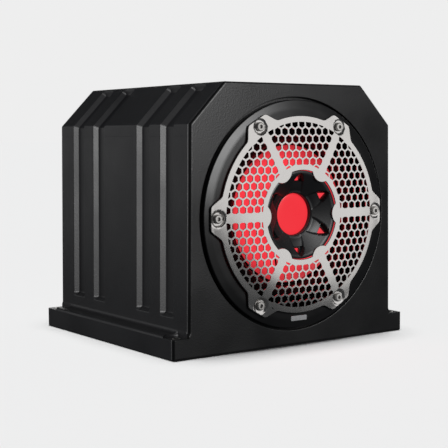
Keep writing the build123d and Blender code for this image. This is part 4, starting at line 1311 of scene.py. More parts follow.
# ---------------------------------------------------------------- grille
@dataclass
class Grille:
    """The domed steel grille: six spokes, a perforated field, a lobed hub opening and six screwed tabs."""

    section: tuple[Pair, ...] = (
        (40.0, -11.6), (55.0, -11.9), (66.0, -12.2), (76.0, -12.28), (86.0, -12.05), (96.0, -11.4),
        (106.0, -10.4), (116.0, -9.3), (128.0, -7.6),
    )
    rim_radius: float = 116.0
    tab_radius: float = 128.0
    tab_half: float = 13.5
    tab_flare: float = 26.4
    thickness: float = 1.1
    mesh_out: float = 109.0
    mesh_in: float = 59.0
    spoke: float = 10.2
    pitch: float = 10.25
    across_flats: float = 8.1
    broken_edge: float = 0.16
    seat_radius: float = 119.0
    seat_depth: float = -6.75
    screw_hole: float = 2.8
    hub_radius: float = 52.6
    bump_radius: float = 15.1
    neck_radius: float = 45.8

    def dome(self, radius: float) -> float:
        """Depth of the sheet's front, without the pressed seats.

        Args:
            radius: Distance from the driver's axis.

        Returns:
            The depth.
        """
        place = min(max(radius, self.section[0][0]), self.section[-1][0])
        for (low, first), (high, last) in zip(self.section, self.section[1:]):
            if place <= high:
                share = (place - low) / (high - low)
                return first + (last - first) * share
        return self.section[-1][1]

    def surface(self, radius: float, angle: float) -> float:
        """Depth of the sheet's front, with its pressed seats.

        Args:
            radius: Distance from the driver's axis.
            angle: Angle round it in radians.

        Returns:
            The depth.
        """
        depth = (self.dome(radius - 3.0) + self.dome(radius) + self.dome(radius + 3.0)) / 3
        nearest = round(angle / (math.pi / 3)) * math.pi / 3
        x = radius * math.cos(angle - nearest) - self.seat_radius
        away = math.hypot(x, radius * math.sin(angle - nearest))
        sunk = smoothstep((10.0 - away) / 2.6)
        return depth + (self.seat_depth - depth) * sunk

    def blank(self) -> bpy.types.Object:
        """The domed sheet before anything is cut from it.

        Returns:
            A closed sheet, with finer steps where the seats are pressed.
        """
        radii = [43.0 + 3.6 * i for i in range(16)] + [100.0 + 1.0 * i for i in range(33)]
        angles: list[float] = []
        for k in range(SPOKES):
            angles += [60 * k - 6 + 0.5 * i for i in range(24)]
            angles += [60 * k + 6 + 2.0 * i for i in range(24)]
        turns = [math.radians(a) for a in angles]
        loops = []
        for radius, back in [(r, False) for r in radii] + [(r, True) for r in reversed(radii)]:
            extra = self.thickness if back else 0.0
            loop = []
            for a in turns:
                y = FRONT_Y + self.surface(radius, a) + extra
                loop.append((radius * math.cos(a), y, DRIVER_Z + radius * math.sin(a)))
            loops.append(loop)
        return closed_loft("Grille", loops)

    def edge(self) -> list[Pair]:
        """The sheet's outer edge with its six tabs.

        Returns:
            Its points, anticlockwise.
        """
        made: list[Pair] = []
        flare, half, tip = self.tab_flare, self.tab_half, self.tab_radius
        meet = math.sqrt(self.rim_radius ** 2 - flare ** 2)
        flank = [(meet + 0.2, flare - 0.4), (meet + 1.2, flare - 1.9), (meet + 2.6, flare - 3.4)]
        flank += [(tip - 2.4, half + 2.2), (tip - 1.1, half + 0.9), (tip - 0.3, half - 0.5)]
        flank.append((tip, half - 2.4))
        tab = [(x, -y) for x, y in flank] + list(reversed(flank))
        begin = math.degrees(math.atan2(flare, meet))
        span = 60 - 2 * begin
        for k in range(SPOKES):
            turn = math.radians(60 * k)
            cosine, sine = math.cos(turn), math.sin(turn)
            made += [(x * cosine - y * sine, x * sine + y * cosine) for x, y in tab]
            angles = [math.radians(60 * k + begin + span * i / 14) for i in range(1, 14)]
            made += [(self.rim_radius * math.cos(a), self.rim_radius * math.sin(a)) for a in angles]
        return made

    def hub(self) -> list[Pair]:
        """The hub opening, into which a bump reaches at each spoke's root.

        Returns:
            Its points, anticlockwise.
        """
        made: list[Pair] = []
        middle = self.neck_radius + self.bump_radius
        for i in range(360):
            off = math.radians((i + 30) % 60 - 30)
            radius = self.hub_radius
            inside = self.bump_radius ** 2 - (middle * math.sin(off)) ** 2
            if inside > 0:
                radius = min(radius, middle * math.cos(off) - math.sqrt(inside))
            angle = math.radians(i)
            made.append((radius * math.cos(angle), radius * math.sin(angle)))
        return made

    def edge_tool(self, name: str, outline: Sequence[Pair], inset: float) -> bpy.types.Object:
        """A tool with the outline of an edge that breaks the edge at the sheet's front.

        Args:
            name: Its name.
            outline: The outline, about the driver's axis.
            inset: How far the broken edge draws in; negative draws out.

        Returns:
            The tool.
        """
        drawn = shifted(outline, inset)
        fine = shifted(outline, inset * 0.35)
        loops = [[(x, FRONT_Y - 30.0, z + DRIVER_Z) for x, z in drawn]]
        for ring, drop in ((drawn, 0.0), (fine, abs(inset) * 0.35), (outline, abs(inset))):
            loop = []
            for (x, z) in ring:
                depth = self.surface(math.hypot(x, z), math.atan2(z, x))
                loop.append((x, FRONT_Y + depth + drop, z + DRIVER_Z))
            loops.append(loop)
        loops.append([(x, FRONT_Y + 20.0, z + DRIVER_Z) for x, z in outline])
        return loft(name, loops)

    def region(self) -> bpy.types.Object:
        """The six fields between the spokes in which the sheet is perforated.

        Returns:
            The fields as one object.
        """
        fields = []
        half = self.spoke / 2
        low = math.degrees(math.asin(half / self.mesh_in))
        high = math.degrees(math.asin(half / self.mesh_out))
        for k in range(SPOKES):
            outer = [math.radians(60 * k + high + (60 - 2 * high) * i / 24) for i in range(25)]
            inner = [math.radians(60 * k + 60 - low - (60 - 2 * low) * i / 16) for i in range(17)]
            ring = [(self.mesh_out * math.cos(a), self.mesh_out * math.sin(a)) for a in outer]
            ring += [(self.mesh_in * math.cos(a), self.mesh_in * math.sin(a)) for a in inner]
            fields.append(prism("field", ring, [(-30.0, 0.0), (20.0, 0.0)], (0.0, DRIVER_Z)))
        return joined("fields", fields)

    def punch(self) -> bpy.types.Object:
        """One hexagonal punch about the axis, wider where it breaks the hole's front edge.

        Returns:
            The punch.
        """
        corner = self.across_flats / math.sqrt(3)
        broken = self.broken_edge
        front = self.dome(self.neck_radius)
        stations = ((front - 9.0, broken), (front - 0.01, broken), (front + broken, 0.0), (12.0, 0.0))
        loops = []
        for depth, wider in stations:
            ring = circle(corner + wider, 6, (0.0, 0.0), 30.0)
            loops.append([(x, FRONT_Y + depth, z) for x, z in ring])
        return loft("punch", loops)

    def screw(self) -> bpy.types.Object:
        """One cap screw with a hexagon socket.

        Returns:
            The screw, its head's underside at the origin.
        """
        head = [(0.0, 19.0), (2.4, 19.0), (2.4, 0.0), (5.0, 0.0), (5.25, -0.3)]
        head += rounded([(5.25, -0.3, 0.0), (5.25, -3.3, 1.3), (3.2, -3.3, 0.0)], 5)[1:-1]
        head += [(3.2, -3.3), (0.0, -3.3)]
        body = lathe("screw", [(r, s - FRONT_Y) for r, s in head], 40, middle=(0.0, 0.0))
        stations = ((-4.0, 2.5), (-3.3, 2.5), (-2.95, 2.05), (-1.2, 2.05))
        loops = [[(x, s, z) for x, z in circle(r, 6)] for s, r in stations]
        return smoothed(shaped(body, [(Cut.TAKE, loft("socket", loops))]), 35.0)

    def build(self) -> None:
        """Builds the perforated sheet and its six screws."""
        seats = circle(self.seat_radius, SPOKES, (0.0, DRIVER_Z))
        hole = circle(self.screw_hole, 24)
        holes = [prism("screw hole", hole, [(-20.0, 0.0), (5.0, 0.0)], seat) for seat in seats]
        steps = [
            (Cut.KEEP, self.edge_tool("edge", self.edge(), 0.45)),
            (Cut.TAKE, self.edge_tool("hub", self.hub(), -0.5)),
            (Cut.TAKE, joined("screw holes", holes)),
        ]
        sheet = shaped(self.blank(), steps)
        punch, region = self.punch(), self.region()
        sheet = perforation_tree().run(
            sheet,
            {
                "Punch": punch,
                "Region": region,
                "Pitch": self.pitch * MM,
                "Reach": (self.mesh_out + self.across_flats) * MM,
                "Crest": self.section[3][0] * MM,
                "Fall": (self.dome(self.mesh_out) - self.dome(self.neck_radius)) * MM,
                "Height of centre": DRIVER_Z * MM,
                "Rows": 31,
                "Material": GRILLE_STEEL.material(),
            },
        )
        remove(punch, region)
        # Faces that stand across the sheet, the hole walls and edges, get the near-black painted shade.
        sheet.data.materials.append(PAINTED_SHADE_HOLE_WALLS.material())
        for face in sheet.data.polygons:
            if abs(face.normal.y) < 0.3:
                face.material_index = 1
        hand_in(smoothed(sheet, 24.0), ["grille"])
        places = [(x, FRONT_Y + self.seat_depth + 0.1, z) for x, z in seats]
        screws = set_on_places("Grille-screws", self.screw(), places, SCREW_STEEL, math.pi / 3, 5)
        hand_in(screws, ["grille_screws"])


# ---------------------------------------------------------------- centre pod
@dataclass
class Pod:
    """The black pod in the hub: a funnel with six scooped windows round a lit red lens."""

    rim: float = 52.3
    tube: float = 27.5
    scoop_depth: float = 2.4
    pocket_depth: float = 3.2
    scoop_inner: float = 26.0
    scoop_outer: float = 49.0
    scoop_half_angle: float = 23.0
    wall: float = 2.4
    bore: float = 25.0
    lens_seat: float = 23.4
    lens_radius: float = 24.8
    lens_depth: float = 7.4
    window_place: float = 43.0
    window_radius: float = 5.6
    segments: int = 240

    def funnel(self, radius: float) -> float:
        """Depth of the funnel's front, without its scoops.

        Args:
            radius: Distance from the driver's axis.

        Returns:
            The depth.
        """
        if radius > 49.8:
            return -10.2 + 0.6 * ((radius - 49.8) / (self.rim - 49.8)) ** 2
        if radius > 46.0:
            share = (49.8 - radius) / 3.8
            return -10.2 + 1.4 * share * share
        return -8.8 + (46.0 - radius) / 20.0 * 12.1

    def surface(self, radius: float, angle: float) -> float:
        """Depth of the front, with its scoops.

        Args:
            radius: Distance from the driver's axis.
            angle: Angle round it in degrees.

        Returns:
            The depth.
        """
        off = angle % 60.0 - 30.0
        share = (self.scoop_outer - radius) / (self.scoop_outer - self.scoop_inner)
        bowed = self.scoop_half_angle * max(0.0, share) ** 0.8
        straight = -self.scoop_half_angle * max(0.0, share)
        edge = (bowed - off if off > 0 else off - straight) * math.radians(1) * radius
        inside = smoothstep(edge / 1.3) * smoothstep((radius - self.scoop_inner) / 2.5)
        slope = 0.45 + 0.55 * smoothstep((radius - 30.0) / 12.0)
        pocket = smoothstep((radius - 38.6) / 1.0) * smoothstep((49.4 - radius) / 1.0)
        pocket *= smoothstep((edge + 0.6) / 1.0)
        return self.funnel(radius) + self.scoop_depth * inside * slope + self.pocket_depth * pocket

    def rows(self) -> list[Callable[[float], Pair]]:
        """Rows of the pod's closed section, from the tube's front round to its back.

        Returns:
            For each row a function that gives its radius and depth at an angle in degrees.
        """
        bore, seat = self.bore, self.lens_seat
        radii = [25.3, 25.7, 26.2] + [27.0 + 0.8 * i for i in range(24)]
        radii += [46.2, 47.0, 47.8, 48.6, 49.3, 49.8, 50.6, 51.3, 51.8]
        tube = ((bore, 18.0), (bore, 11.6), (seat, 11.6), (seat, 10.0), (bore, 10.0), (bore, 4.4))
        made: list[Callable[[float], Pair]] = [lambda a, spot=spot: spot for spot in tube]
        for r in radii:
            drop = 0.5 * max(0.0, (26.2 - r) / 0.9)
            made.append(lambda a, r=r, drop=drop: (r, self.surface(r, a) + drop))
        made.append(lambda a: (self.rim, -8.4))
        for r in reversed(radii[5:-8]):
            made.append(lambda a, r=r: (r + 0.8, self.surface(r, a) + self.wall))
        back = ((28.6, 6.2), (self.tube, 7.6), (self.tube, 18.0))
        made += [lambda a, spot=spot: spot for spot in back]
        return made

    def body(self) -> bpy.types.Object:
        """The pod before its windows are cut.

        Returns:
            The closed funnel with its tube.
        """
        angles = [360.0 * i / self.segments for i in range(self.segments)]
        loops = []
        for row in self.rows():
            loop = []
            for a in angles:
                radius, depth = row(a)
                turn = math.radians(a)
                loop.append((radius * math.cos(turn), FRONT_Y + depth, DRIVER_Z + radius * math.sin(turn)))
            loops.append(loop)
        return closed_loft("Centre-pod", loops)

    def windows(self) -> bpy.types.Object:
        """The tools for the six triangular windows, each with a corner outwards.

        Returns:
            The tools as one object.
        """
        tools = []
        for k in range(SPOKES):
            turn = 30.0 + 60.0 * k
            away = math.radians(turn)
            spot = (self.window_place * math.cos(away), DRIVER_Z + self.window_place * math.sin(away))
            corners = [(x, z, 0.6) for x, z in circle(self.window_radius, 3, (0.0, 0.0), turn)]
            tools.append(prism("window", rounded(corners, 3), [(-16.0, 0.0), (9.0, 0.0)], spot))
        return joined("windows", tools)

    def lens(self) -> bpy.types.Object:
        """The slightly crowned lens.

        Returns:
            The lens.
        """
        edge, depth = self.lens_radius, self.lens_depth
        angles = [math.radians(9 * i) for i in range(11)]
        face = [(0.94 * edge * math.sin(a), depth + 0.9 * (1 - math.cos(a))) for a in angles]
        profile = [*face, (edge, depth + 1.5), (edge, 10.0), (0.0, 10.0)]
        return smoothed(lathe("Lens", profile, 96), 40.0)

    def build(self) -> None:
        """Builds the pod and its lens."""
        pod = smoothed(shaped(self.body(), [(Cut.TAKE, self.windows())]), 38.0)
        hand_in(painted(pod, POD_PLASTIC), ["centre_pod"])
        hand_in(painted(self.lens(), LENS_RED), ["pod_lens"])


# ---------------------------------------------------------------- driver
@dataclass
class Driver:
    """The 10 inch driver: cone, dust cap, rubber surround and cloth spider."""

    sectors: int = 24
    roll_radius: float = 96.0
    roll_rise: float = 10.0
    lead_x: float = 7.0
    lead_depth: float = 52.0
    lead_radius: float = 0.7
    lead_stations: tuple[float, ...] = (95.6, 84.0, 74.0, 68.0, 62.0, 56.0, 50.0, 45.0, 40.0, 36.5, 33.4)
    lead_still: float = 74.0
    lead_carried: float = 38.0

    def surround_profile(self) -> list[Pair]:
        """Closed profile of the rubber roll with its two landings.

        Returns:
            Its radii and depths.
        """
        middle, rise = self.roll_radius, self.roll_rise
        angles = [math.radians(a) for a in range(0, 181, 10)]
        crown = [(middle + 10.1 * math.cos(a), 15.2 - rise * math.sin(a)) for a in angles]
        hollow = [(middle + 8.9 * math.cos(a), 16.4 - rise * math.sin(a)) for a in reversed(angles)]
        outside = [(112.0, 16.4), (112.0, 15.2), (108.5, 15.2)]
        inside = [(83.5, 15.2), (82.3, 15.2), (82.0, 15.5), (82.0, 16.4)]
        return [*outside, *crown, *inside, *hollow]

    def spider_profile(self) -> list[Pair]:
        """Closed profile of the corrugated spider.

        Returns:
            Its radii and depths.
        """
        front = [(32.5, 57.6), (36.0, 57.6)]
        front += [(36.0 + i * 0.75, 58.4 - 0.8 * math.cos(math.radians(i * 22.5))) for i in range(49)]
        front += [(76.0, 59.1), (82.0, 59.1)]
        return [*front, *[(r, s + 0.8) for r, s in reversed(front)]]

    def flexing(
        self, name: str, profile: Sequence[Pair], finish: Finish, node: str
    ) -> None:
        """Builds a ring between the fixed parts and the cone, in sectors.

        Args:
            name: Name of the ring's sectors.
            profile: Its closed profile.
            finish: Its finish, whose name in lower case is the record's material slot.
            node: CAD node that it stands for.
        """
        span = 360.0 / self.sectors
        for k in range(self.sectors):
            sector = lathe(f"{name}-{k + 1:02d}", profile, 8, span * k, span)
            sector = painted(smoothed(sector, 50.0), finish)
            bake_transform(sector)
            if k == 0:
                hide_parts(node)
        LOG.info("%s: %d sectors", name, self.sectors)

    def leads(self) -> None:
        """Builds the two braided leads between the terminal board and the coil former."""
        for k, side in enumerate((-1, 1)):
            middle = (side * self.lead_x, FRONT_Y + self.lead_depth)
            ring = circle(self.lead_radius, 10, middle)
            loops = [[(x, y, DRIVER_Z - away) for x, y in ring] for away in self.lead_stations]
            lead = painted(smoothed(loft(f"Tinsel-lead-{k + 1}", loops), 50.0), COIL_COPPER)
            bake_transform(lead)
            if k == 0:
                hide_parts("tinsel_leads")
        LOG.info("Tinsel leads: 2")

    def build(self) -> None:
        """Builds the visible driver parts."""
        front = [(81.5, 16.5), (74.5, 22.3), (67.0, 27.5), (58.6, 32.6), (49.0, 38.0), (41.0, 42.1)]
        front.append((32.5, 46.0))
        rim = [(86.0, 18.1), (86.0, 16.5)]
        profile = [*rim, *front, *[(r + 0.3, s + 1.7) for r, s in reversed(front)]]
        # The cone and dust cap carry painted red light that stands in for the glow of the hub's lamps.
        cone = smoothed(lathe("Cone", profile, 144), 40.0)
        hand_in(painted(cone, CONE_PULP_PAINTED_GLOW), ["cone"], MOVING)
        dome = [(0.0, 30.0), (8.0, 30.4), (16.0, 31.6), (22.0, 33.2), (29.0, 35.8), (36.0, 38.8)]
        dome.append((41.0, 41.2))
        back = [(38.5, 42.4), (33.0, 39.8), (21.6, 34.3), (12.0, 31.9), (0.0, 31.2)]
        cap = smoothed(lathe("Dust-cap", [*dome, *back], 96), 40.0)
        hand_in(painted(cap, CONE_PULP_PAINTED_GLOW), ["dust_cap"], MOVING)
        self.flexing("Surround", self.surround_profile(), SURROUND_RUBBER, "surround")
        self.flexing("Spider", self.spider_profile(), SPIDER_CLOTH, "spider")
        self.leads()


# ---------------------------------------------------------------- amplifier
@dataclass
class Amplifier:
    """The finned amplifier plate on the back with its screws, controls and connectors."""

    half_width: float = 125.0
    low: float = 40.0
    high: float = 260.0
    face: float = 296.0
    thick: float = 4.0
    fin_count: int = 27
    fin_pitch: float = 8.0
    fin_thick: float = 2.2
    fin_low: float = 150.0
    fin_high: float = 246.0
    knob_x: tuple[float, ...] = (-70.0, -35.0, 0.0)
    knob_z: float = 122.0
    jacks: tuple[Pair, ...] = ((22.0, 78.0), (44.0, 78.0))
    openings: tuple[tuple[float, float, Pair], ...] = (
        (58.4, 20.4, (-78.0, 78.0)), (24.4, 24.4, (-28.0, 78.0)), (9.0, 4.4, (38.0, 122.0)),
    )

    def screw_places(self) -> list[Pair]:
        """Places of the fourteen panel screws."""
        sides = [(x, z) for x in (-118.0, 118.0) for z in (47.0, 98.5, 150.0, 201.5, 253.0)]
        return sides + [(x, z) for x in (-39.0, 39.0) for z in (47.0, 253.0)]

    def hole(self, outline: Sequence[Pair], middle: Pair = (0.0, 0.0)) -> bpy.types.Object:
        """A tool that cuts a hole through the plate and breaks its edge."""
        stations = [(self.face - 6, 0.0), (self.face - 0.5, 0.0), (self.face, -0.5), (self.face + 3, -0.5)]
        return prism("hole", outline, stations, middle)

    def plate(self) -> bpy.types.Object:
        """The plate with its holes, and the fins in a row on it.

        Returns:
            Plate and fins as one object.
        """
        middle = (0.0, (self.low + self.high) / 2)
        outline = rectangle(2 * self.half_width, self.high - self.low, 6.0)
        rim = [(self.face - self.thick, 0.4), (self.face - self.thick + 0.4, 0.0)]
        rim += [(self.face - s, inset) for s, inset in reversed(arc_steps(0.8, 3))]
        plate = prism("Amplifier-plate", outline, rim, middle)
        holes = [self.hole(circle(2.2, 24), place) for place in self.screw_places()]
        holes += [self.hole(circle(3.6, 32), (x, self.knob_z)) for x in self.knob_x]
        holes += [self.hole(circle(5.2, 40), place) for place in self.jacks]
        holes.append(self.hole(circle(2.6, 24), (70.0, self.knob_z)))
        for width, height, middle_of in self.openings:
            holes.append(self.hole(rectangle(width, height, 0.6), middle_of))
        plate = smoothed(shaped(plate, [(Cut.TAKE, joined("holes", holes))]))
        height = self.fin_high - self.fin_low
        fin_outline = rectangle(self.fin_thick, height, 1.0, steps=3)
        stations = [(self.face - 0.1, 0.0), (303.2, 0.1), (303.7, 0.3), (304.0, 0.7)]
        fin = smoothed(prism("Fins", fin_outline, stations, (0.0, (self.fin_low + self.fin_high) / 2)), 40.0)
        fins = row_tree().run(
            fin, {"Count": self.fin_count, "Pitch": self.fin_pitch * MM, "Material": AMP_ALUMINIUM.material()}
        )
        return joined("Amplifier-plate", [painted(plate, AMP_ALUMINIUM), fins])

    def screw(self) -> bpy.types.Object:
        """One panel screw: a low round head with a hexagon socket.

        Returns:
            The screw, its shank towards the front.
        """
        head = rounded([(3.8, 0.0, 0.0), (3.8, 2.4, 1.2), (2.0, 2.4, 0.0)], 5)
        profile = [(0.0, -12.0), (1.9, -12.0), (1.9, 0.0), *head, (0.0, 2.4)]
        body = lathe("screw", [(r, s - FRONT_Y) for r, s in profile], 32, middle=(0.0, 0.0))
        loops = [[(x, s, z) for x, z in circle(r, 6)] for s, r in ((0.9, 1.5), (2.2, 1.5), (2.6, 1.8))]
        return smoothed(shaped(body, [(Cut.TAKE, loft("socket", loops))]), 35.0)

    def knob(self, name: str, x: float) -> bpy.types.Object:
        """One ribbed control knob with a pointer slot.

        Args:
            name: The knob's name.
            x: Its place across.

        Returns:
            The knob.
        """
        ribs = 20
        outline = []
        for i in range(ribs * 6):
            angle = 2 * math.pi * i / (ribs * 6)
            radius = 5.35 + 0.25 * math.cos(ribs * angle)
            outline.append((radius * math.cos(angle), radius * math.sin(angle)))
        start = self.face + 0.3
        profile = ((0.0, 0.0), (6.4, 0.0), (7.0, 0.25), (7.4, 0.7), (7.5, 1.1))
        body = prism(name, outline, [(start + s, inset) for s, inset in profile], (x, self.knob_z))
        slot_depth = [(start + 6.4, 0.0), (start + 9.0, 0.0)]
        slot_tool = prism("slot", rectangle(1.0, 4.4, 0.3), slot_depth, (x, self.knob_z + 2.4))
        bore = prism("bore", circle(3.05, 32), [(start - 1, 0.0), (start + 5.7, 0.0)], (x, self.knob_z))
        return smoothed(shaped(body, [(Cut.TAKE, slot_tool), (Cut.TAKE, bore)]), 35.0)

    def build(self) -> None:
        """Builds the amplifier's outside."""
        hand_in(self.plate(), ["amp_plate"])
        places = [(x, FRONT_Y + self.face, z) for x, z in self.screw_places()]
        screws = set_on_places("Panel-screws", self.screw(), places, BLACK_SCREWS, math.pi / 3, 3)
        hand_in(screws, ["amp_screws"])
        for name, x in zip(("gain_knob", "crossover_knob", "boost_knob"), self.knob_x):
            knob = painted(self.knob(name.replace("_", "-").capitalize(), x), KNOB_PLASTIC)
            hand_in(knob, [name], name)
        copies = (
            ("Signal-jacks", "rca_jacks", JACK_METAL, "jack_metal", 0.25, FIXED),
            ("Jack-centres", "rca_centres", JACK_CREAM, "jack_red", 0.2, FIXED),
            ("Power-terminals", "power_terminal_block", TERMINAL_PLASTIC, "terminal_plastic", 0.3, FIXED),
            ("Terminal-screws", "terminal_screws", TERMINAL_BRASS, "terminal_brass", 0.15, FIXED),
            ("Fuse-holder", "fuse_holder", TERMINAL_PLASTIC, "terminal_plastic", 0.4, FIXED),
            ("Fuses", "fuses", FUSE_PLASTIC, "fuse_plastic", 0.25, FIXED),
            ("Power-lamp", "power_lamp", LAMP_LENS, "lamp_lens", 0.0, FIXED),
            ("Phase-switch", "phase_switch_slider", SWITCH_PLASTIC, "switch_plastic", 0.3, "phase_switch"),
        )
        for name, node, finish, slot, bevel, body in copies:
            hand_in(painted(cad_copy(name, node, bevel), finish), [node], body)


# ---------------------------------------------------------------- CAD parts that keep their shape
KEPT_FINISHES: dict[str, Finish] = {
    "baffle_gasket": GASKET_RUBBER,
    "driver_gasket": GASKET_RUBBER,
    "amp_gasket": GASKET_RUBBER,
    "baffle_screws": BLACK_SCREWS,
    "base_screws": BLACK_SCREWS,
    "driver_screws": BLACK_SCREWS,
    "board_screws": BLACK_SCREWS,
    "base_plate": BASE_BOARD,
    "driver_basket": BASKET_PAINT,
    "top_plate": MOTOR_STEEL,
    "pole_piece": MOTOR_STEEL,
    "magnet": MAGNET_FERRITE,
    "magnet_boot": GASKET_RUBBER,
    "voice_coil_former": FORMER_ALUMINIUM,
    "voice_coil": COIL_COPPER,
    "terminal_board": TERMINAL_PLASTIC,
    "terminal_tabs": TERMINAL_BRASS,
    "led_board": BOARD_GREEN,
    "leds": LED_CHIP,
    "pod_back_lens": LENS_RED,
    "led_lead": WIRE_BLACK,
    "speaker_wires": WIRE_BLACK,
    "potentiometers": POT_METAL,
    "phase_switch_body": POT_METAL,
    "amp_board": BOARD_GREEN,
    "standoffs": TERMINAL_BRASS,
    "toroid": COIL_COPPER,
    "capacitors": CAPACITOR_SLEEVE,
    "chokes": MAGNET_FERRITE,
    "power_transistors": TRANSISTOR_EPOXY,
}


def dress_kept_parts() -> None:
    """Gives every CAD part that stays its finish."""
    for node, finish in KEPT_FINISHES.items():
        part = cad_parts[node]
        if not part.material_slots:
            part.data.materials.append(None)
        for slot in part.material_slots:
            slot.material = finish.material()
    LOG.info("kept parts: %d", len(KEPT_FINISHES))


# ---------------------------------------------------------------- studio
@dataclass
class Softbox:
    """A soft rectangular light that faces a point, and lights everything or only some pieces."""

    name: str
    place: Point
    aim: Point
    width: float
    height: float
    power: float
    colour: Colour = (1.0, 1.0, 1.0)
    lit_pieces: tuple[str, ...] = ()
    roll: float = 0.0

    def build(self) -> bpy.types.Object:
        """Builds the light.

        Returns:
            The light's object.
        """
        light = bpy.data.lights.new(self.name, "AREA")
        light.shape = "RECTANGLE"
        light.size = self.width
        light.size_y = self.height
        light.energy = self.power
        light.color = self.colour
        made = bpy.data.objects.new(self.name, light)
        bpy.context.scene.collection.objects.link(made)
        made.location = self.place
        made.rotation_euler = (Vector(self.aim) - Vector(self.place)).to_track_quat("-Z", "Y").to_euler()
        made.rotation_euler.rotate_axis("Z", math.radians(self.roll))
        if self.lit_pieces:
            lit = bpy.data.collections.new(f"Lit by {self.name}")
            for name in self.lit_pieces:
                lit.objects.link(bpy.data.objects[name])
            made.light_linking.receiver_collection = lit
        return made


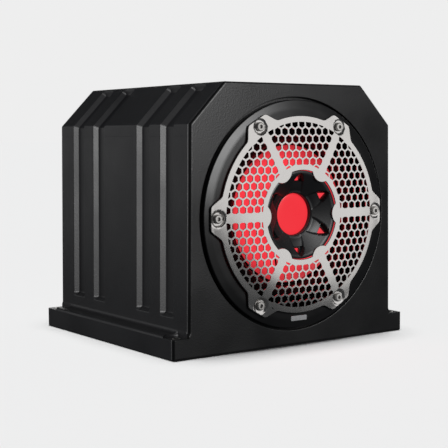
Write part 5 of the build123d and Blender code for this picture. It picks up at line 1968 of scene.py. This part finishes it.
@dataclass
class Studio:
    """The pale floor, the soft lights and the camera."""

    pale: float = 0.855
    floor_half: float = 60.0
    camera_place: Point = (-0.83947, -1.17843, 0.24751)
    camera_yaw: float = 0.621314
    camera_pitch: float = 0.0774423
    camera_roll: float = -0.003799
    camera_lens: float = 90.07
    sun_angle: float = 24.0
    floor_share: float = 0.953

    def camera(self) -> None:
        """Sets up the camera."""
        yaw, pitch, roll = self.camera_yaw, self.camera_pitch, self.camera_roll
        ahead = Vector((math.sin(yaw) * math.cos(pitch), math.cos(yaw) * math.cos(pitch), -math.sin(pitch)))
        right = Vector((math.cos(yaw), -math.sin(yaw), 0.0))
        up = right.cross(ahead)
        across = right * math.cos(roll) + up * math.sin(roll)
        upward = up * math.cos(roll) - right * math.sin(roll)
        data = bpy.data.cameras.new("Camera")
        data.lens = self.camera_lens
        data.sensor_width = 36.0
        data.dof.use_dof = False
        data.clip_start = 0.05
        data.clip_end = 300.0
        made = bpy.data.objects.new("Camera", data)
        bpy.context.scene.collection.objects.link(made)
        turn = Matrix((across, upward, -ahead)).transposed().to_4x4()
        made.matrix_world = Matrix.Translation(self.camera_place) @ turn
        bpy.context.scene.camera = made

    def floor(self) -> None:
        """Lays the floor, with a light of its own that keeps it evenly pale."""
        half = self.floor_half / MM
        corners_at = [(half * a, half * b, -0.3) for a, b in ((-1, -1), (1, -1), (1, 1), (-1, 1))]
        floor = make_object("Floor", corners_at, [(0, 1, 2, 3)])
        material = bpy.data.materials.new("Pale floor")
        material.use_nodes = True
        shader = material.node_tree.nodes["Principled BSDF"]
        shader.inputs["Base Color"].default_value = (0.8, 0.8, 0.8, 1.0)
        shader.inputs["Roughness"].default_value = 1.0
        shader.inputs["Specular IOR Level"].default_value = 0.0
        floor.data.materials.append(material)
        floor.visible_diffuse = False
        floor.visible_glossy = False
        floor.visible_shadow = False
        floor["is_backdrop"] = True
        lit = bpy.data.collections.new("Floor only")
        lit.objects.link(floor)
        light = bpy.data.lights.new("Floor light", "SUN")
        light.energy = math.pi * self.pale / 0.8 * self.floor_share
        light.angle = math.radians(self.sun_angle)
        made = bpy.data.objects.new("Floor light", light)
        bpy.context.scene.collection.objects.link(made)
        made.light_linking.receiver_collection = lit
        lamps = [o for o in bpy.context.scene.objects if o.type == "LIGHT" and o is not made]
        for lamp in [o for o in lamps if not o.light_linking.receiver_collection]:
            others = bpy.data.collections.get("Product only") or bpy.data.collections.new("Product only")
            if floor.name not in others.objects:
                others.objects.link(floor)
                others.collection_objects[0].light_linking.link_state = "EXCLUDE"
            lamp.light_linking.receiver_collection = others

    def world(self) -> None:
        """Makes the surroundings dim for the product and pale behind it."""
        world = bpy.data.worlds.new("Studio")
        bpy.context.scene.world = world
        world.use_nodes = True
        nodes, links = world.node_tree.nodes, world.node_tree.links
        backdrop = nodes["Background"]
        backdrop.inputs["Color"].default_value = (self.pale, self.pale, self.pale, 1.0)
        dim = nodes.new("ShaderNodeBackground")
        dim.inputs["Color"].default_value = (0.9, 0.95, 1.0, 1.0)
        dim.inputs["Strength"].default_value = 0.05
        path = nodes.new("ShaderNodeLightPath")
        mix = nodes.new("ShaderNodeMixShader")
        links.new(path.outputs["Is Camera Ray"], mix.inputs["Fac"])
        links.new(dim.outputs["Background"], mix.inputs[1])
        links.new(backdrop.outputs["Background"], mix.inputs[2])
        links.new(mix.outputs["Shader"], nodes["World Output"].inputs["Surface"])

    def build(self) -> None:
        """Builds the whole studio."""
        bpy.context.scene.view_settings.view_transform = "Standard"
        self.camera()
        aim = (0.0, 0.0, 0.16)
        front_pieces = ("Front-panel", "Trim-ring", "Centre-pod", "Lens", "Cone", "Dust-cap")
        steel = ("Grille", "Grille-screws", "Ring-badge")
        cabinet = ("Enclosure",)
        boxes = (
            Softbox("Front softbox", (0.25, -1.5, 0.65), aim, 0.7, 0.7, 20.0, lit_pieces=front_pieces),
            Softbox("Grille card", (0.75, -1.3, 0.36), aim, 1.8, 0.95, 4.6, lit_pieces=steel, roll=-22.0),
            Softbox("Left front softbox", (-1.25, -1.17, 0.58), aim, 0.6, 0.8, 32.0, lit_pieces=cabinet),
            Softbox("Left back card", (-1.1, 1.3, 0.5), aim, 1.2, 1.0, 2.2),
            Softbox("Back softbox", (1.3, 2.2, 0.8), aim, 1.4, 1.2, 10.0),
            Softbox("Right softbox", (2.2, 0.4, 0.9), aim, 1.2, 1.2, 8.0),
        )
        for box in boxes:
            box.build()
        self.floor()
        self.world()
        LOG.info("studio: %d soft lights", len(boxes))


@dataclass
class HubGlow:
    """Red light from the hub's lamps, thrown back on the cone and the spokes' roots."""

    count: int = 6
    radius: float = 36.0
    depth: float = 14.0
    power: float = 0.002

    def build(self) -> None:
        """Builds the small lights."""
        for i, (x, z) in enumerate(circle(self.radius, self.count, (0.0, DRIVER_Z), 30.0)):
            light = bpy.data.lights.new(f"Hub glow {i + 1}", "POINT")
            light.energy = self.power
            light.color = (1.0, 0.04, 0.05)
            light.shadow_soft_size = 0.004
            made = bpy.data.objects.new(light.name, light)
            bpy.context.scene.collection.objects.link(made)
            made.location = (x * MM, (FRONT_Y + self.depth) * MM, z * MM)


def corners(box: tuple[Vector, Vector]) -> list[list[float]]:
    """A box's two corners as plain lists."""
    return [[float(c) for c in corner] for corner in box]


def main() -> None:
    """Builds every sub-assembly in order, then the studio."""
    logging.basicConfig(level=logging.INFO, format="%(name)s: %(message)s")
    cad_box = corners(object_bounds())
    for part in (Enclosure(), FrontPanel(), TrimRing(), Grille(), Pod(), Driver(), Amplifier()):
        part.build()
    dress_kept_parts()
    HubGlow().build()
    Studio().build()
    bpy.context.view_layer.update()
    {"cad": cad_box, "visual": corners(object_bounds())}


if __name__ == "__main__":
    main()
